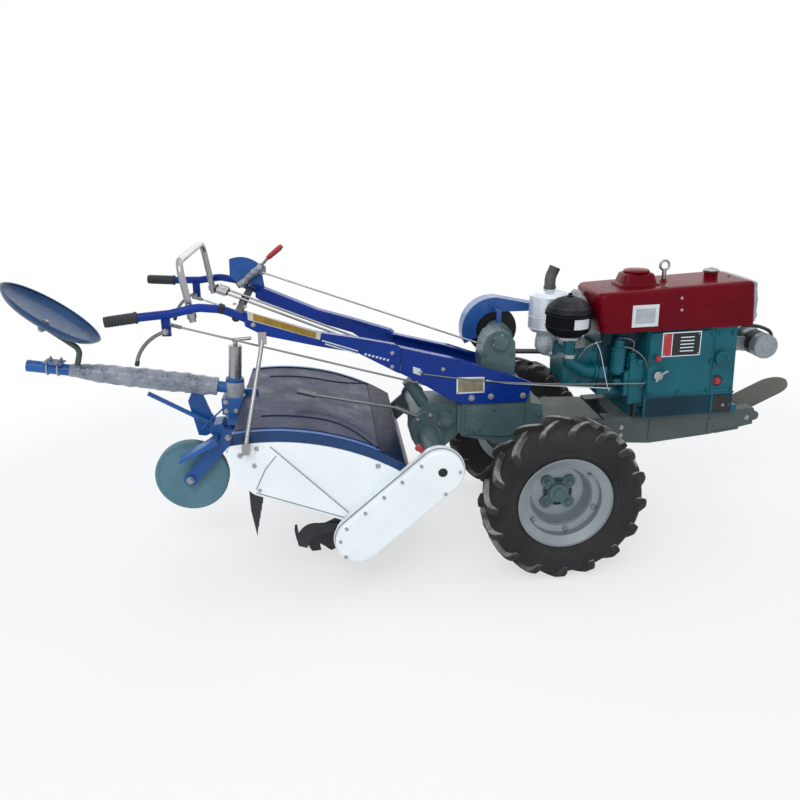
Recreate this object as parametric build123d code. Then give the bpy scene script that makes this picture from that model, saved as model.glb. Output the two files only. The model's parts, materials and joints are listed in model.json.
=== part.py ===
from build123d import *
import os
from math import acos, asin, atan2, cos, degrees, hypot, pi, radians, sin

os.makedirs("parts", exist_ok=True)

# Two-wheel power tiller with a diesel engine in front, a rotary tiller behind the wheels and a
# ride-on tail wheel and seat. Millimetres. The machine is drawn on its own datum: X forward, Y to the
# machine's left, Z up, the wheel axle above X 0, and the engine bed nearly level. park() then pitches it
# about the axle until the tiller's blade tips stand on the floor, which is how it parks.

# ---- driving sizes ----
tyre_radius = 320.0  # 6.00-12 tyre over its lugs
tyre_width = 165.0
track = 800.0  # between the middles of the two tyres
rotor_x = -785.0  # rotor axle, behind the wheel axle
rotor_z = 205.0
rotor_radius = 245.0  # to the blade tips
cover_half = 410.0  # half the width of the tiller between its side plates
gearbox_half = 118.0
handle_plate = 8.0
rail_half = 150.0  # outside of the engine rails
engine_x = 480.0  # engine bed's reference point
engine_z = 552.0
engine_tilt = 2.3  # degrees, engine bed nose up from the datum
column_top = (-1248.0, 843.0)  # tail column's axis, X and Z
column_foot = (-1276.0, 482.0)
tail_wheel_radius = 151.0
tail_wheel_axle = (-1460.0, 287.0)
seat_diameter = 398.0
axle_to_middle = 465.5  # from the middle of the machine's length to the wheel axle
turning_gap = 0.3  # between a turning pin and its bore

# ---- how it stands ----
drop = tyre_radius - rotor_z
park_pitch = degrees(atan2(drop, -rotor_x) - asin((tyre_radius - rotor_radius) / hypot(rotor_x, drop)))


def park(piece):
    """Turn a piece from the machine's datum to where it stands on the floor."""
    stand = Pos(axle_to_middle, 0, tyre_radius) * Rot(0, park_pitch, 0) * Pos(0, 0, -tyre_radius)
    return stand * piece


def on_engine(piece):
    """Place a piece drawn on the engine bed: X forward and Z up from the bed's reference point."""
    return Pos(engine_x, 0, engine_z) * Rot(0, -engine_tilt, 0) * piece


def engine_point(x, z):
    """Machine X and Z of a point given on the engine bed."""
    tilt = radians(engine_tilt)
    return (engine_x + x * cos(tilt) - z * sin(tilt), engine_z + x * sin(tilt) + z * cos(tilt))


# ---- shapes used again and again ----
STANDING = (Align.CENTER, Align.CENTER, Align.MIN)


def block(x0, x1, y0, y1, z0, z1):
    """A box between two corners."""
    return Pos((x0 + x1) / 2, (y0 + y1) / 2, (z0 + z1) / 2) * Box(x1 - x0, y1 - y0, z1 - z0)


def slab(outline, y0, y1, corner=0):
    """A plate from y0 to y1 whose outline is drawn in X and Z, its corners rounded."""
    face = Polygon(*outline, align=None) if isinstance(outline, list) else outline
    if corner:
        face = fillet(face.vertices(), corner)
    return Pos(0, y1, 0) * extrude(Plane.XZ * face, y1 - y0, dir=(0, -1, 0))


def disc(x, z, radius, y0, y1):
    """A round along Y."""
    return Pos(x, y1, z) * Rot(90, 0, 0) * Cylinder(radius, y1 - y0, align=STANDING)


def upright(x, y, radius, z0, z1):
    """A round along Z."""
    return Pos(x, y, z0) * Cylinder(radius, z1 - z0, align=STANDING)


def bar(start, end, radius):
    """A round bar between two points."""
    along = Vector(*end) - Vector(*start)
    place = Plane(origin=start, z_dir=along)
    return place * Cylinder(radius, along.length, align=STANDING)


def tube(points, radius, bend):
    """A round bar bent at every middle point."""
    path = FilletPolyline(*points, radius=bend)
    return sweep(Plane(origin=path @ 0, z_dir=path % 0) * Circle(radius), path=path)


def link(a, b, half_width, y0, y1):
    """A plate with round ends about two points given as X and Z."""
    length = hypot(b[0] - a[0], b[1] - a[1])
    turn = degrees(atan2(b[1] - a[1], b[0] - a[0]))
    middle = Pos((a[0] + b[0]) / 2, (a[1] + b[1]) / 2)
    return slab(middle * Rot(0, 0, turn) * SlotCenterToCenter(length, 2 * half_width), y0, y1)


def strip(points, thickness, bend, y0, y1):
    """A bent sheet of even thickness, its path drawn in X and Z."""
    path = FilletPolyline(*points, radius=bend) if len(points) > 2 else Line(*points)
    return slab(trace(path, line_width=thickness), y0, y1)


def turned(profile):
    """A wheel-like piece about Y; the profile lists radius and Y."""
    face = Polygon(*profile, align=None) if isinstance(profile, list) else profile
    return revolve(face, Axis.Y)


def both(piece):
    """The piece and its mirror image on the other side of the machine."""
    return piece + mirror(piece, about=Plane.XZ)


def together(*pieces):
    """Pieces of one node that stay separate solids."""
    solids = [solid for piece in pieces for solid in piece.solids()]
    return Compound(children=solids)


nodes = {}

# ---- road wheels ----
rim_radius = 152.0  # under the beads
rim_half = 57.0
flare_start = 38.0  # from here the rim flares out to its lips
flange_radius = 184.0
rim_wall = 4.0
disc_inset = 52.0  # wheel disc, inboard of the tyre's middle
disc_wall = 6.0
axle_radius = 18.0
housing_end = track / 2 - disc_inset - disc_wall - 6  # the axle housing stops short of the wheel disc
axle_seat = 40.0  # how far the axle goes into its housing


def tyre_profile():
    bead = rim_radius + turning_gap
    half = tyre_width / 2
    lip = flange_radius + 4
    side = Polyline((bead, 22), (bead, flare_start - turning_gap), (flange_radius, rim_half - turning_gap),
                    (lip, rim_half))
    wall = ThreePointArc((lip, rim_half), (242, half), (tyre_radius - 20, half - 9))
    shoulder = Line((tyre_radius - 20, half - 9), (tyre_radius - 5, half - 22))
    crown = ThreePointArc((tyre_radius - 5, half - 22), (tyre_radius, 0), (tyre_radius - 5, 22 - half))
    shoulder2 = Line((tyre_radius - 5, 22 - half), (tyre_radius - 20, 9 - half))
    wall2 = ThreePointArc((tyre_radius - 20, 9 - half), (242, -half), (lip, -rim_half))
    side2 = Polyline((lip, -rim_half), (flange_radius, turning_gap - rim_half),
                     (bead, turning_gap - flare_start), (bead, -22))
    inner = Polyline((bead, -22), (198, -46), (242, 16 - half), (tyre_radius - 34, 24 - half),
                     (tyre_radius - 34, half - 24), (242, half - 16), (198, 46), (bead, 22))
    return make_face([*side.edges(), wall, shoulder, crown, shoulder2, wall2, *side2.edges(), *inner.edges()])


def rim():
    """Barrel that flares out to a lip on each side, and the dished disc inboard."""
    inner = rim_radius - rim_wall
    end = rim_half + rim_wall
    edge = flange_radius - rim_wall
    barrel = turned([(inner, -flare_start), (edge, -rim_half), (edge, -end), (flange_radius, -end),
                     (flange_radius, -rim_half), (rim_radius, -flare_start), (rim_radius, flare_start),
                     (flange_radius, rim_half), (flange_radius, end), (edge, end), (edge, rim_half),
                     (inner, flare_start)])
    dish = turned([(inner + 1, 6), (inner + 1, 0), (120, -6), (104, -disc_inset - disc_wall),
                   (30, -disc_inset - disc_wall), (30, -disc_inset), (108, -disc_inset), (124, -1)])
    return barrel + dish


def hub():
    """Four-lobed hub casting on the disc, with the axle through it."""
    face = -disc_inset + turning_gap
    casting = disc(0, 0, 56, face, face + 10) + disc(0, 0, 38, face, face + 22)
    for k in range(4):
        turn = radians(45 + 90 * k)
        casting += disc(62 * cos(turn), 62 * sin(turn), 24, face, face + 10)
    axle = disc(0, 0, axle_radius, housing_end - axle_seat + 1 - track / 2, face + 27)
    return casting + axle


for side, sign in (("left", 1), ("right", -1)):
    place = Pos(0, sign * track / 2, tyre_radius)
    flip = Rot(0, 0, 0) if sign > 0 else Rot(180, 0, 0)
    nodes[f"tyre_{side}"] = place * turned(tyre_profile())
    nodes[f"rim_{side}"] = place * flip * rim()
    nodes[f"hub_{side}"] = place * flip * hub()

# ---- gearbox, axle housings and clutch housing ----
gearbox_front = 60.0
gearbox_rear = -346.0
gearbox_top = 665.0
bed_top = 538.0  # top of the plate that joins the rails to the gearbox
bed_wall = 9.0
box = slab([(gearbox_rear, gearbox_top), (-70, gearbox_top), (-62, 608), (-14, 600), (-4, bed_top - bed_wall),
            (gearbox_front, bed_top - bed_wall), (gearbox_front, 452), (-150, 430), (gearbox_rear, 470)],
           -gearbox_half, gearbox_half, 5)
final_drive = slab([(-185, 460), (gearbox_front - 2, 470), (95, 330), (-95, 320)], -92, 92)
final_drive += disc(0, tyre_radius, 95, -92, 92)
side_cover = slab([(-334, 604), (-92, 606), (-90, 500), (-150, 466), (-330, 482)],
                  gearbox_half, gearbox_half + 9, 10)
side_boss = disc(-291, 522, 29, gearbox_half + 9, gearbox_half + 18)
rod_lugs = block(gearbox_rear - 12, gearbox_rear, 50, 70, 628, 652)
nodes["gearbox"] = box + final_drive + both(side_cover + side_boss + rod_lugs)

housing = disc(0, tyre_radius, 44, 92, housing_end - 14) + disc(0, tyre_radius, 60, 92, 108)
housing += disc(0, tyre_radius, 54, housing_end - 14, housing_end)
housing -= disc(0, tyre_radius, axle_radius + turning_gap, housing_end - axle_seat, housing_end)
nodes["axle_housings"] = together(housing, mirror(housing, about=Plane.XZ))

clutch_x = -158.0
clutch_z = 840.0
clutch_far = gearbox_half - 6
shaft_radius = 20.0
belt_near = 205.0
belt_far = 256.0
tower = slab([(-262, gearbox_top), (-125, gearbox_top), (-122, 790), (-127, 850), (-148, 880), (-180, 895),
              (-212, 895), (-240, 876), (-256, 842), (-264, 790)], -60, 60, 8)
tower += disc(-190, 852, 36, -70, -60) + disc(-190, 852, 29, -88, -70)
tower += disc(clutch_x, clutch_z, 50, 60, 160) + block(-230, -130, 60, clutch_far, gearbox_top, 800)
tower -= disc(clutch_x, clutch_z, shaft_radius + turning_gap, 100, 160)
nodes["clutch_housing"] = tower

# ---- engine bed ----
rail_wall = 12.0
flange_wall = 8.0
bed_rear = -228.0
bed_front = 408.0
flange_inner = 92.0
web = slab([(gearbox_front, 470), (gearbox_front, bed_top), engine_point(bed_rear - 10, -flange_wall),
            engine_point(bed_front, -flange_wall),
            engine_point(bed_front, -70), (708, 458), (446, 426), (240, 436)],
           rail_half - rail_wall, rail_half)
bed = on_engine(block(bed_rear - 10, bed_front, flange_inner, rail_half, -flange_wall, 0))
stand_x, stand_z = engine_point(bed_front + 4, -34)
ear = link((stand_x, stand_z), (stand_x - 60, stand_z), 20, 112, rail_half)
ear -= disc(stand_x, stand_z, 8 + turning_gap, 111, 127)
rail = web + bed + ear
nodes["engine_rails"] = together(rail, mirror(rail, about=Plane.XZ))

between = rail_half - rail_wall
rear_plate = block(gearbox_front, gearbox_front + rail_wall, -between, between, 474, bed_top - bed_wall)
rear_plate += block(0, 236, -between, between, bed_top - bed_wall, bed_top)
middle_plate = block(300, 300 + rail_wall, -between, between, 450, 530)
plate_back = 34.0  # the front crossmember stands this far back, clear of the stand
front_plate = on_engine(block(bed_front - plate_back - rail_wall, bed_front - plate_back, -between, between,
                              -60, -flange_wall))
nodes["rail_crossmembers"] = together(rear_plate, middle_plate, front_plate - both(ear))

# ---- front stand, folded up ahead of the rails ----
stand_angle = 27.0
stand_length = 205.0
paddle_plan = Pos(stand_length / 2, 0) * SlotOverall(stand_length + 60, 150)
paddle = extrude(paddle_plan, 9) & block(12, 300, -100, 100, -5, 20)
stand = Pos(0, 0, -4) * paddle + disc(0, 0, 15, -111, 111) + disc(0, 0, 8, -126, 126)
nodes["front_stand"] = Pos(stand_x, 0, stand_z) * Rot(0, -stand_angle, 0) * stand

# ---- engine: crankcase, head and what is bolted to them, drawn on the bed ----
case_near = -175.0
case_far = 92.0
case_rear = -90.0
case_front = 292.0
case_top = 368.0
casting_wall = 18.0
barrel_rear = -262.0
foot_rear = -135.0
crank_x = 160.0
crank_z = 240.0

case_lean = 14.0  # the front face leans back this much at its top
crankcase = slab([(case_rear, 0), (case_front, 0), (case_front - case_lean, case_top), (case_rear, case_top)],
                 case_near, case_far)
crankcase += block(case_rear, case_front + 20, case_near, rail_half - 5, 0, 30)
crankcase += block(barrel_rear, case_rear, -110, 80, 90, case_top)
crankcase += block(foot_rear, case_rear, -150, rail_half - 5, 0, 90)
crankcase += block(-150, case_rear, -165, -110, 60, 250)
crankcase += disc(crank_x, crank_z, 70, case_far, 138)
crankcase += disc(222, 240, 30, case_near - 9, case_near)
crankcase -= disc(222, 240, 15, case_near - 9, case_near + 20)
crankcase -= disc(crank_x, crank_z, 30 + turning_gap, 98, 138)
crankcase -= block(case_rear + casting_wall, case_front - case_lean - casting_wall, case_near + casting_wall,
                   case_far - casting_wall, 30, case_top - casting_wall)
crankcase -= block(case_rear + casting_wall, case_front - casting_wall, -80, 70, 0, 30)
nodes["engine_block"] = on_engine(crankcase)
nodes["engine_sump"] = on_engine(block(case_rear + 4, case_front - 4, -88, 88, -flange_wall, 0))
cover_plate = slab([(-88, 97), (-88, 358), (180, 358), (180, 97)], case_near - 16, case_near, 14)
nodes["gear_cover"] = on_engine(cover_plate)

head_rear = -406.0
head = slab([(head_rear, 135), (head_rear, 285), (barrel_rear, 300), (barrel_rear, 120)], -100, 78, 16)
nodes["cylinder_head"] = on_engine(head)

hood_near = -188.0
hood_far = 95.0
hood_wall = 4.0
hood_side = [(-280, case_top), (-302, 525), (325, 545), (340, case_top)]
hood = slab(hood_side, hood_near, hood_far)
hood = fillet([edge for edge in hood.edges() if edge.length > 500 and edge.center().Z > 500], 24)
dome = Pos(-102, -45, 524) * extrude(Rectangle(144, 122), 58, taper=12)
cap = upright(211, -45, 27, 538, 572)
front_strip = slab([(336, 380), (322, 540), (346, 538), (360, 382)], hood_near + 12, hood_far - 12)
inside = slab([(-274, case_top), (-290, 505), (312, 522), (334, case_top)],
              hood_near + hood_wall, hood_far - hood_wall)
nodes["engine_hood"] = on_engine(hood + dome + cap + front_strip - inside)

eye_bore = 14.0
eye = Pos(14, -45, 600) * Rot(90, 0, 0) * Torus(18, 5.5) - disc(14, 600, eye_bore, -60, -30)
eye += upright(14, -45, 9, 535.2, 583)
nodes["lifting_eye"] = on_engine(eye) - nodes["engine_hood"]

cleaner_x = 77.0
cleaner_y = -85.0
cleaner_line = Polygon((0, 1040), (30, 1036), (52, 1027), (71, 1013), (86, 997), (93, 980), (93, 970),
                       (88, 966), (88, 912), (82, 900), (62, 886), (52, 881), (52, 868), (0, 868), align=None)
nodes["air_cleaner"] = Pos(cleaner_x, cleaner_y, 0) * revolve(Plane.XZ * cleaner_line, Axis.Z)

muffler_x = 48.0
muffler_y = 92.0
can_line = Polygon((0, 1034), (40, 1031), (68, 1024), (82, 1009), (82, 874), (70, 858), (40, 848), (0, 848),
                   align=None)
can = revolve(Plane.XZ * can_line, Axis.Z)
pipe = tube([(0, 0, 850), (0, 0, 772), (44, -32, 764)], 23, 30)
spout = tube([(0, 0, 1024), (-3, 0, 1078), (16, 0, 1128)], 22, 60)
nodes["muffler"] = Pos(muffler_x, muffler_y, 0) * (can + pipe + spout) - nodes["cylinder_head"]

intake = tube([(cleaner_x, -118, 870), (cleaner_x, -128, 782), (150, -128, 742), (232, -128, 740)], 24, 36)
intake += block(200, 232, -152, -104, 716, 764)
nodes["intake_pipe"] = intake - nodes["cylinder_head"] - nodes["engine_block"] - nodes["air_cleaner"]

filter_x = 273.0
fuel_filter = upright(filter_x, -150, 28, 745, 845) + upright(filter_x, -150, 20, 735, 875)
fuel_filter += block(filter_x - 8, filter_x + 8, -150, -100, 850, 872)
nodes["fuel_filter"] = fuel_filter - nodes["engine_block"]

generator_x = 412.0
generator = disc(generator_x, 270, 48, -172, -20) + disc(generator_x, 270, 58, -20, -4)
generator += slab([(case_front - case_lean, 226), (case_front - case_lean, 300), (generator_x - 20, 292),
                   (generator_x - 20, 250)], -92, -72)
nodes["generator"] = on_engine(generator) - nodes["engine_block"]

lamp = Pos(-306, 30, 433) * Rot(0, 90, 0) * (Cylinder(45, 30) + Pos(0, 0, 20) * Cylinder(26, 16))
nodes["headlamp"] = on_engine(lamp) - nodes["engine_hood"]

# ---- flywheel with its belt pulley, clutch pulley, belts and guard ----
pulley_radius = 80.0
clutch_radius = 102.0
belt_gap = 0.5
belt_wall = 10.0
belt_width = 13.0
belt_pitch = 16.5
crank = engine_point(crank_x, crank_z)
flywheel_near = 158.0
wheel_hub = disc(*crank, 46, flywheel_near - 14, flywheel_near + 30) + disc(*crank, 30, 100, flywheel_near)
flywheel = disc(*crank, 212, flywheel_near, belt_near - 4)
flywheel -= disc(*crank, 170, flywheel_near - 1, flywheel_near + 22)
flywheel += disc(*crank, pulley_radius, belt_near - 4, belt_far) + wheel_hub
nodes["flywheel"] = flywheel
clutch = disc(clutch_x, clutch_z, clutch_radius, belt_near, belt_far)
clutch += disc(clutch_x, clutch_z, 60, belt_far, belt_far + 12)
clutch += disc(clutch_x, clutch_z, shaft_radius, 102, belt_near)
nodes["clutch_pulley"] = clutch


def around_pulleys(extra):
    """Outline that wraps both pulleys, this far outside them: an arc on each and the two tangents."""
    span_x, span_z = crank[0] - clutch_x, crank[1] - clutch_z
    along = atan2(span_z, span_x)
    open_half = acos((clutch_radius - pulley_radius) / hypot(span_x, span_z))

    def rim_point(centre, radius, turn):
        return (centre[0] + (radius + extra) * cos(turn), centre[1] + (radius + extra) * sin(turn))

    rear = [rim_point((clutch_x, clutch_z), clutch_radius, along + t) for t in (open_half, pi, -open_half)]
    front = [rim_point(crank, pulley_radius, along + t) for t in (-open_half, 0, open_half)]
    tangents = [Line(rear[2], front[0]), Line(front[2], rear[0])]
    return make_face([ThreePointArc(*rear), ThreePointArc(*front), *tangents])


belts = []
for k in range(3):
    near = belt_near + 3 + belt_pitch * k
    outside = slab(around_pulleys(belt_gap + belt_wall), near, near + belt_width)
    belts.append(outside - slab(around_pulleys(belt_gap), near, near + belt_width))
nodes["drive_belts"] = together(*belts)

guard_radius = 142.0
guard_depth = 64.0
guard_drop = 34.0  # how far its top falls towards its front end
guard_wall = 3.0
guard_inside = 40.0  # the guard is open towards the pulley
guard_near = 192.0
guard_far = 274.0
guard_front = 25.0
guard_start = 205.0  # degrees round the clutch shaft where the guard begins


def guard_outline(outer, inner):
    """The guard's side: round the back of the clutch pulley, then forward along the belts."""
    def rim_point(radius, turn):
        return (clutch_x + radius * cos(radians(turn)), clutch_z + radius * sin(radians(turn)))
    top = ThreePointArc(rim_point(outer, guard_start), rim_point(outer, 150), rim_point(outer, 88))
    low = ThreePointArc(rim_point(inner, 88), rim_point(inner, 150), rim_point(inner, guard_start))
    front = Polyline(top @ 1, (guard_front, clutch_z + outer - guard_drop),
                     (guard_front, clutch_z + inner + 4), low @ 0)
    return make_face([top, *front.edges(), low, Line(low @ 1, top @ 0)])


guard = slab(guard_outline(guard_radius, guard_radius - guard_depth), guard_near, guard_far)
guard -= slab(guard_outline(guard_radius - guard_wall, guard_inside), guard_near + guard_wall,
              guard_far - guard_wall)
strap_rear = clutch_x - 10
guard += block(strap_rear, strap_rear + 20, 110, 122, 880, 940)
guard += block(strap_rear, strap_rear + 20, 122, guard_near + 1, 928, 940)
nodes["belt_guard"] = guard - nodes["clutch_housing"]

# ---- handlebars ----
splay = 14.4  # degrees, how far the arms spread behind the front plates
splay_x = -620.0
plate_side = [(-65, 697), (-84, 615), (-346, 613), (-403, 636), (-497, 693), (-604, 751), (-640, 770),
              (-640, 863), (-568, 845), (-392, 803), (-372, 800), (-274, 766), (-171, 738)]
front_plate = slab(plate_side, -gearbox_half - handle_plate, -gearbox_half)
front_flange = strip([(-640, 858), (-392, 799), (-274, 762)], 8, 60, -gearbox_half - 1, -gearbox_half + 30)

# arm side: distance behind the bend, bottom and top
arm_sections = [(0, 757, 868), (158, 850, 908), (313, 890, 943), (515, 948, 1016), (575, 985, 1038)]
arm_width = 36.0
arm_side = [(splay_x + 15, 751), (splay_x + 15, 857)] + [(splay_x - s, top) for s, _, top in arm_sections]
arm_side += [(splay_x - s, low) for s, low, _ in reversed(arm_sections)]
arm_centre = -gearbox_half - handle_plate / 2
swing = Pos(splay_x, arm_centre, 0) * Rot(0, 0, splay) * Pos(-splay_x, 0, 0)
arm = swing * slab(arm_side, -arm_width / 2, arm_width / 2)
tube_points = [(-1150, -258, 1000), (-1250, -287, 1050), (-1330, -309, 1062), (-1420, -334, 1046),
               (-1535, -366, 1041)]
arm_tube = tube(tube_points, 15, 110)
bracket = block(-1452, -1422, -338, -324, 968, 1035)
bracket += block(-1374, -1354, -318, -279, 1046, 1064)
right_arm = front_plate + front_flange + arm + arm_tube + bracket
nodes["handlebar_right"] = right_arm
nodes["handlebar_left"] = mirror(right_arm, about=Plane.XZ)

grip_near = bar((-1522, -363, 1042), (-1629, -378, 1030), 18) - right_arm
grip_far = bar((-1530, 364.6, 1041.2), (-1645, 378, 1044), 18) - nodes["handlebar_left"]
nodes["hand_grips"] = together(grip_near, grip_far)

shift_rod = bar((-1270, -35, 1060), (-300, -35, gearbox_top + 7), 5)
shift_rod += bar((-1300, -35, 1072), (-1265, -35, 1058), 13)
crossbar = disc(-1205, 1016, 15, -275, 275) + block(-1217, -1193, -62, 62, 1021, 1030)
nodes["handlebar_crossbar"] = crossbar - nodes["handlebar_right"] - nodes["handlebar_left"] - both(shift_rod)

hoop = tube([(-1356, -268, 1002), (-1390, -268, 1213), (-1390, 268, 1213), (-1356, 268, 1002)], 12.5, 45)
nodes["hoop_bar"] = hoop - nodes["handlebar_right"] - nodes["handlebar_left"]

lever_arc = ThreePointArc((-1438, -352, 988), (-1500, -352, 953), (-1546, -352, 871))
lever = sweep(Plane(origin=lever_arc @ 0, z_dir=lever_arc % 0) * Circle(6.5), path=lever_arc)
lever += disc(-1438, 988, 12, -354, -338)
crank_arm = disc(-1438, 988, 7, -324, -246) + bar((-1438, -250, 988), (-1402, -250, 978), 7)
nodes["steering_levers"] = together(both(lever + crank_arm))

steering_rod = bar((-1403, -250, 978), (gearbox_rear - 6, -60, 640), 4)
clutch_rod = bar((-1146, 247, 1090), (-250, 56, 815), 4)

sector_arc = ThreePointArc((-1283, 1144), (-1222, 1152), (-1155, 1118))
sector_foot = Polyline((-1155, 1118), (-1140, 1010), (-1225, 1018), (-1285, 1072), (-1283, 1144))
sector = slab(make_face([sector_arc, *sector_foot.edges()]), 262, 268)
nodes["clutch_sector"] = sector - nodes["handlebar_left"] - nodes["handlebar_crossbar"]
clutch_lever = bar((-1252, 247, 1033), (-1146, 247, 1121), 12)
clutch_lever += bar((-1150, 247, 1118), (-1120, 247, 1152), 6)
clutch_lever += bar((-1122, 247, 1150), (-1062, 247, 1199), 8) + disc(-1222, 1056, 14, 236, 262)
clutch_lever += block(-1160, -1132, 244, 250, 1082, 1118)
nodes["clutch_lever"] = clutch_lever - nodes["handlebar_left"] - nodes["handlebar_crossbar"]
steering_rod -= crank_arm + nodes["gearbox"]
nodes["control_rods"] = together(steering_rod, mirror(steering_rod, about=Plane.XZ), shift_rod,
                                 mirror(shift_rod, about=Plane.XZ),
                                 clutch_rod - nodes["clutch_lever"] - nodes["clutch_housing"])

# ---- tail column's axis, its tube and the sleeve it stands in ----
lean = (column_top[0] - column_foot[0], column_top[1] - column_foot[1])
lean_length = hypot(*lean)
column_radius = 26.0
sleeve_radius = 33.0


def on_column(along):
    """A point on the column's axis, this far above its foot."""
    return (column_foot[0] + lean[0] * along / lean_length, 0, column_foot[1] + lean[1] * along / lean_length)


sleeve_space = bar(on_column(0), on_column(240), sleeve_radius)

# ---- rotary tiller ----
tube_x = -484.0  # the cross tube's axle
tube_z = 471.0
tube_radius = 42.0
gearcase_half = 75.0
gearcase = slab([(gearbox_rear, 606), (gearbox_rear, 470), (-415, 402), (-520, 400), (-548, 450), (-545, 540),
                 (-480, 606)], -gearcase_half, gearcase_half, 14)
gearcase += disc(-411, 543, 30, -gearbox_half, gearcase_half) + disc(-484, 505, 66, -98, 60)
gearcase += bar((-482, -30, 570), (-560, -30, 690), 26)
gearcase += block(gearbox_rear - 16, gearbox_rear, -105, 105, 480, 600)
nodes["tiller_gearcase"] = gearcase - nodes["gearbox"]

cross_tube = disc(tube_x, tube_z, tube_radius, -cover_half - 5, -98) + disc(tube_x, tube_z, 60, -112, -98)
cross_tube_left = disc(tube_x, tube_z, tube_radius, gearcase_half, cover_half)
cross_tube_left += disc(tube_x, tube_z, 58, gearcase_half, 88)
nodes["tiller_tubes"] = together(cross_tube, cross_tube_left - gearcase)

case_inner = cover_half + 5  # the side plates are this far out
stub_radius = 24.0
chain_case = link((tube_x, tube_z), (rotor_x, rotor_z), 88, -case_inner - 33, -case_inner)
chain_case += link((tube_x, tube_z), (rotor_x, rotor_z), 94, -case_inner - 33, -case_inner - 27)
chain_case -= disc(rotor_x, rotor_z, stub_radius + turning_gap, -case_inner - 20, -case_inner)
nodes["chain_case"] = chain_case
case_cover = link((tube_x, tube_z), (rotor_x, rotor_z), 88, -case_inner - 63, -case_inner - 33)
nodes["chain_case_cover"] = fillet(case_cover.edges().group_by(Axis.Y)[0], 12)

bearing_arm = link((tube_x, tube_z), (rotor_x, rotor_z), 40, case_inner, case_inner + 12)
bearing_arm += disc(rotor_x, rotor_z, 50, case_inner - 8, case_inner + 24)
bearing_arm += disc(tube_x, tube_z, 55, case_inner, case_inner + 20)
bearing_arm -= disc(rotor_x, rotor_z, stub_radius + turning_gap, case_inner - 8, case_inner + 16)
nodes["bearing_arm"] = bearing_arm

beam_rear = -1250.0  # rear cross beam of the tiller
cover_front = (-610.0, 487.0)
cover_crown = (-921.0, 613.0)
cover_rear = (-1228.0, 623.0)
cover_wall = 4.0


def under_cover(shift):
    """The cover's arc, lowered by this much."""
    return ThreePointArc(*[(x, z - shift) for x, z in (cover_front, cover_crown, cover_rear)])


def between_arcs(upper, lower):
    return make_face([upper, Line(upper @ 1, lower @ 1), lower, Line(lower @ 0, upper @ 0)])


top, low = under_cover(0), under_cover(cover_wall)
plate_top = ThreePointArc((-600, 441), (-884, 565), (-1240, 580))  # top edge of the side plates
sheet = slab(between_arcs(top, low), -cover_half, cover_half)
sheet += slab([(-606, 490), (-613, 487), (-603, 441), (-566, 345), (-559, 345), (-596, 441)],
              -cover_half, cover_half)
sheet += slab([cover_rear, (-1224, 616), (beam_rear + 5, 560), (beam_rear + 1, 560)], -cover_half, cover_half)
sheet += both(slab(between_arcs(top, plate_top), cover_half - cover_wall, cover_half))
nodes["tiller_cover"] = sheet - sleeve_space

plate_edge = Polyline(plate_top @ 1, (-1257, 544), (-1235, 450), (-1163, 386), (-839, 265), (-760, 262),
                      (-640, 340), (-600, 441))
side_sheet = slab(make_face([plate_top, *plate_edge.edges()]), cover_half, case_inner)
side_sheet += slab([(-1098, 576), (-1145, 574), (-1157, 500), (-1157, 396), (-838, 280), (-822, 300)],
                   case_inner, case_inner + 4)
nodes["side_plates"] = together(side_sheet, mirror(side_sheet, about=Plane.XZ))

nodes["rear_beam"] = block(beam_rear, beam_rear + 44, -cover_half, cover_half, 516, 560) - sleeve_space

tine_pitch = 66.0
rake = block(-1192, -1152, -cover_half, cover_half, 432, 466)
for k in range(12):
    y = (k - 5.5) * tine_pitch
    rake += slab([(-1190, 440), (-1140, 440), (-1146, 360), (-1168, 187), (-1186, 300)], y - 4, y + 4)
nodes["rear_rake"] = rake

# rotor: eight pairs of blades, set round the shaft so that no two neighbours dig together
blade_stations = 8
blade_pitch = 96.0
blade_turn = 22.5
blade_wall = 9.0
shaft_half = 396.0
tube_half = 30.0  # the rotor shaft's tube
rotor_shaft = disc(rotor_x, rotor_z, tube_half, -shaft_half, shaft_half)
rotor_shaft += disc(rotor_x, rotor_z, stub_radius, -case_inner - 18, case_inner + 14)
nodes["rotor_shaft"] = rotor_shaft


def blade_outline():
    """One blade in the rotor's plane, its tip trailing, pointing along +Y of the sketch."""
    lead = ThreePointArc((24, 150), (8, 218), (-60, 237.5 * rotor_radius / 245))
    back = ThreePointArc((-74, 205), (-30, 178), (-18, 130))
    edges = Polyline((-18, 130), (-18, 32), (18, 32), (24, 150))
    return make_face([lead, Line(lead @ 1, back @ 0), back, *edges.edges()])


def tip_outline():
    """The blade's bent tip: a band on the tip circle."""
    band = Circle(rotor_radius) - Circle(rotor_radius - 9)
    wedge = Polygon((0, 0), (-300 * sin(radians(14)), 300), (-40, 300), (300 * sin(radians(2)), 300),
                    align=None)
    return band & wedge


def blade_pair(y, turn):
    outline = blade_outline()
    flange = Circle(58) - Circle(tube_half)
    hand = 1 if y > 0 else -1
    pair = slab(flange, y - blade_wall / 2, y + blade_wall / 2)
    for half in (0, 180):
        pair += slab(Rot(0, 0, turn + half) * outline, y - blade_wall / 2, y + blade_wall / 2)
        y_tip = sorted((y - hand * blade_wall / 2, y - hand * 46))
        pair += slab(Rot(0, 0, turn + half) * tip_outline(), *y_tip)
    return Pos(rotor_x, 0, rotor_z) * pair - nodes["rotor_shaft"]


tip_down = 186.0  # a tip of this pair faces the floor
floor_pair = 4
pairs = []
for k in range(blade_stations):
    station = (k - (blade_stations - 1) / 2) * blade_pitch
    pairs.append(blade_pair(station, tip_down + (k - floor_pair) * blade_turn))
nodes["rotor_blades"] = together(*pairs)

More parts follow.
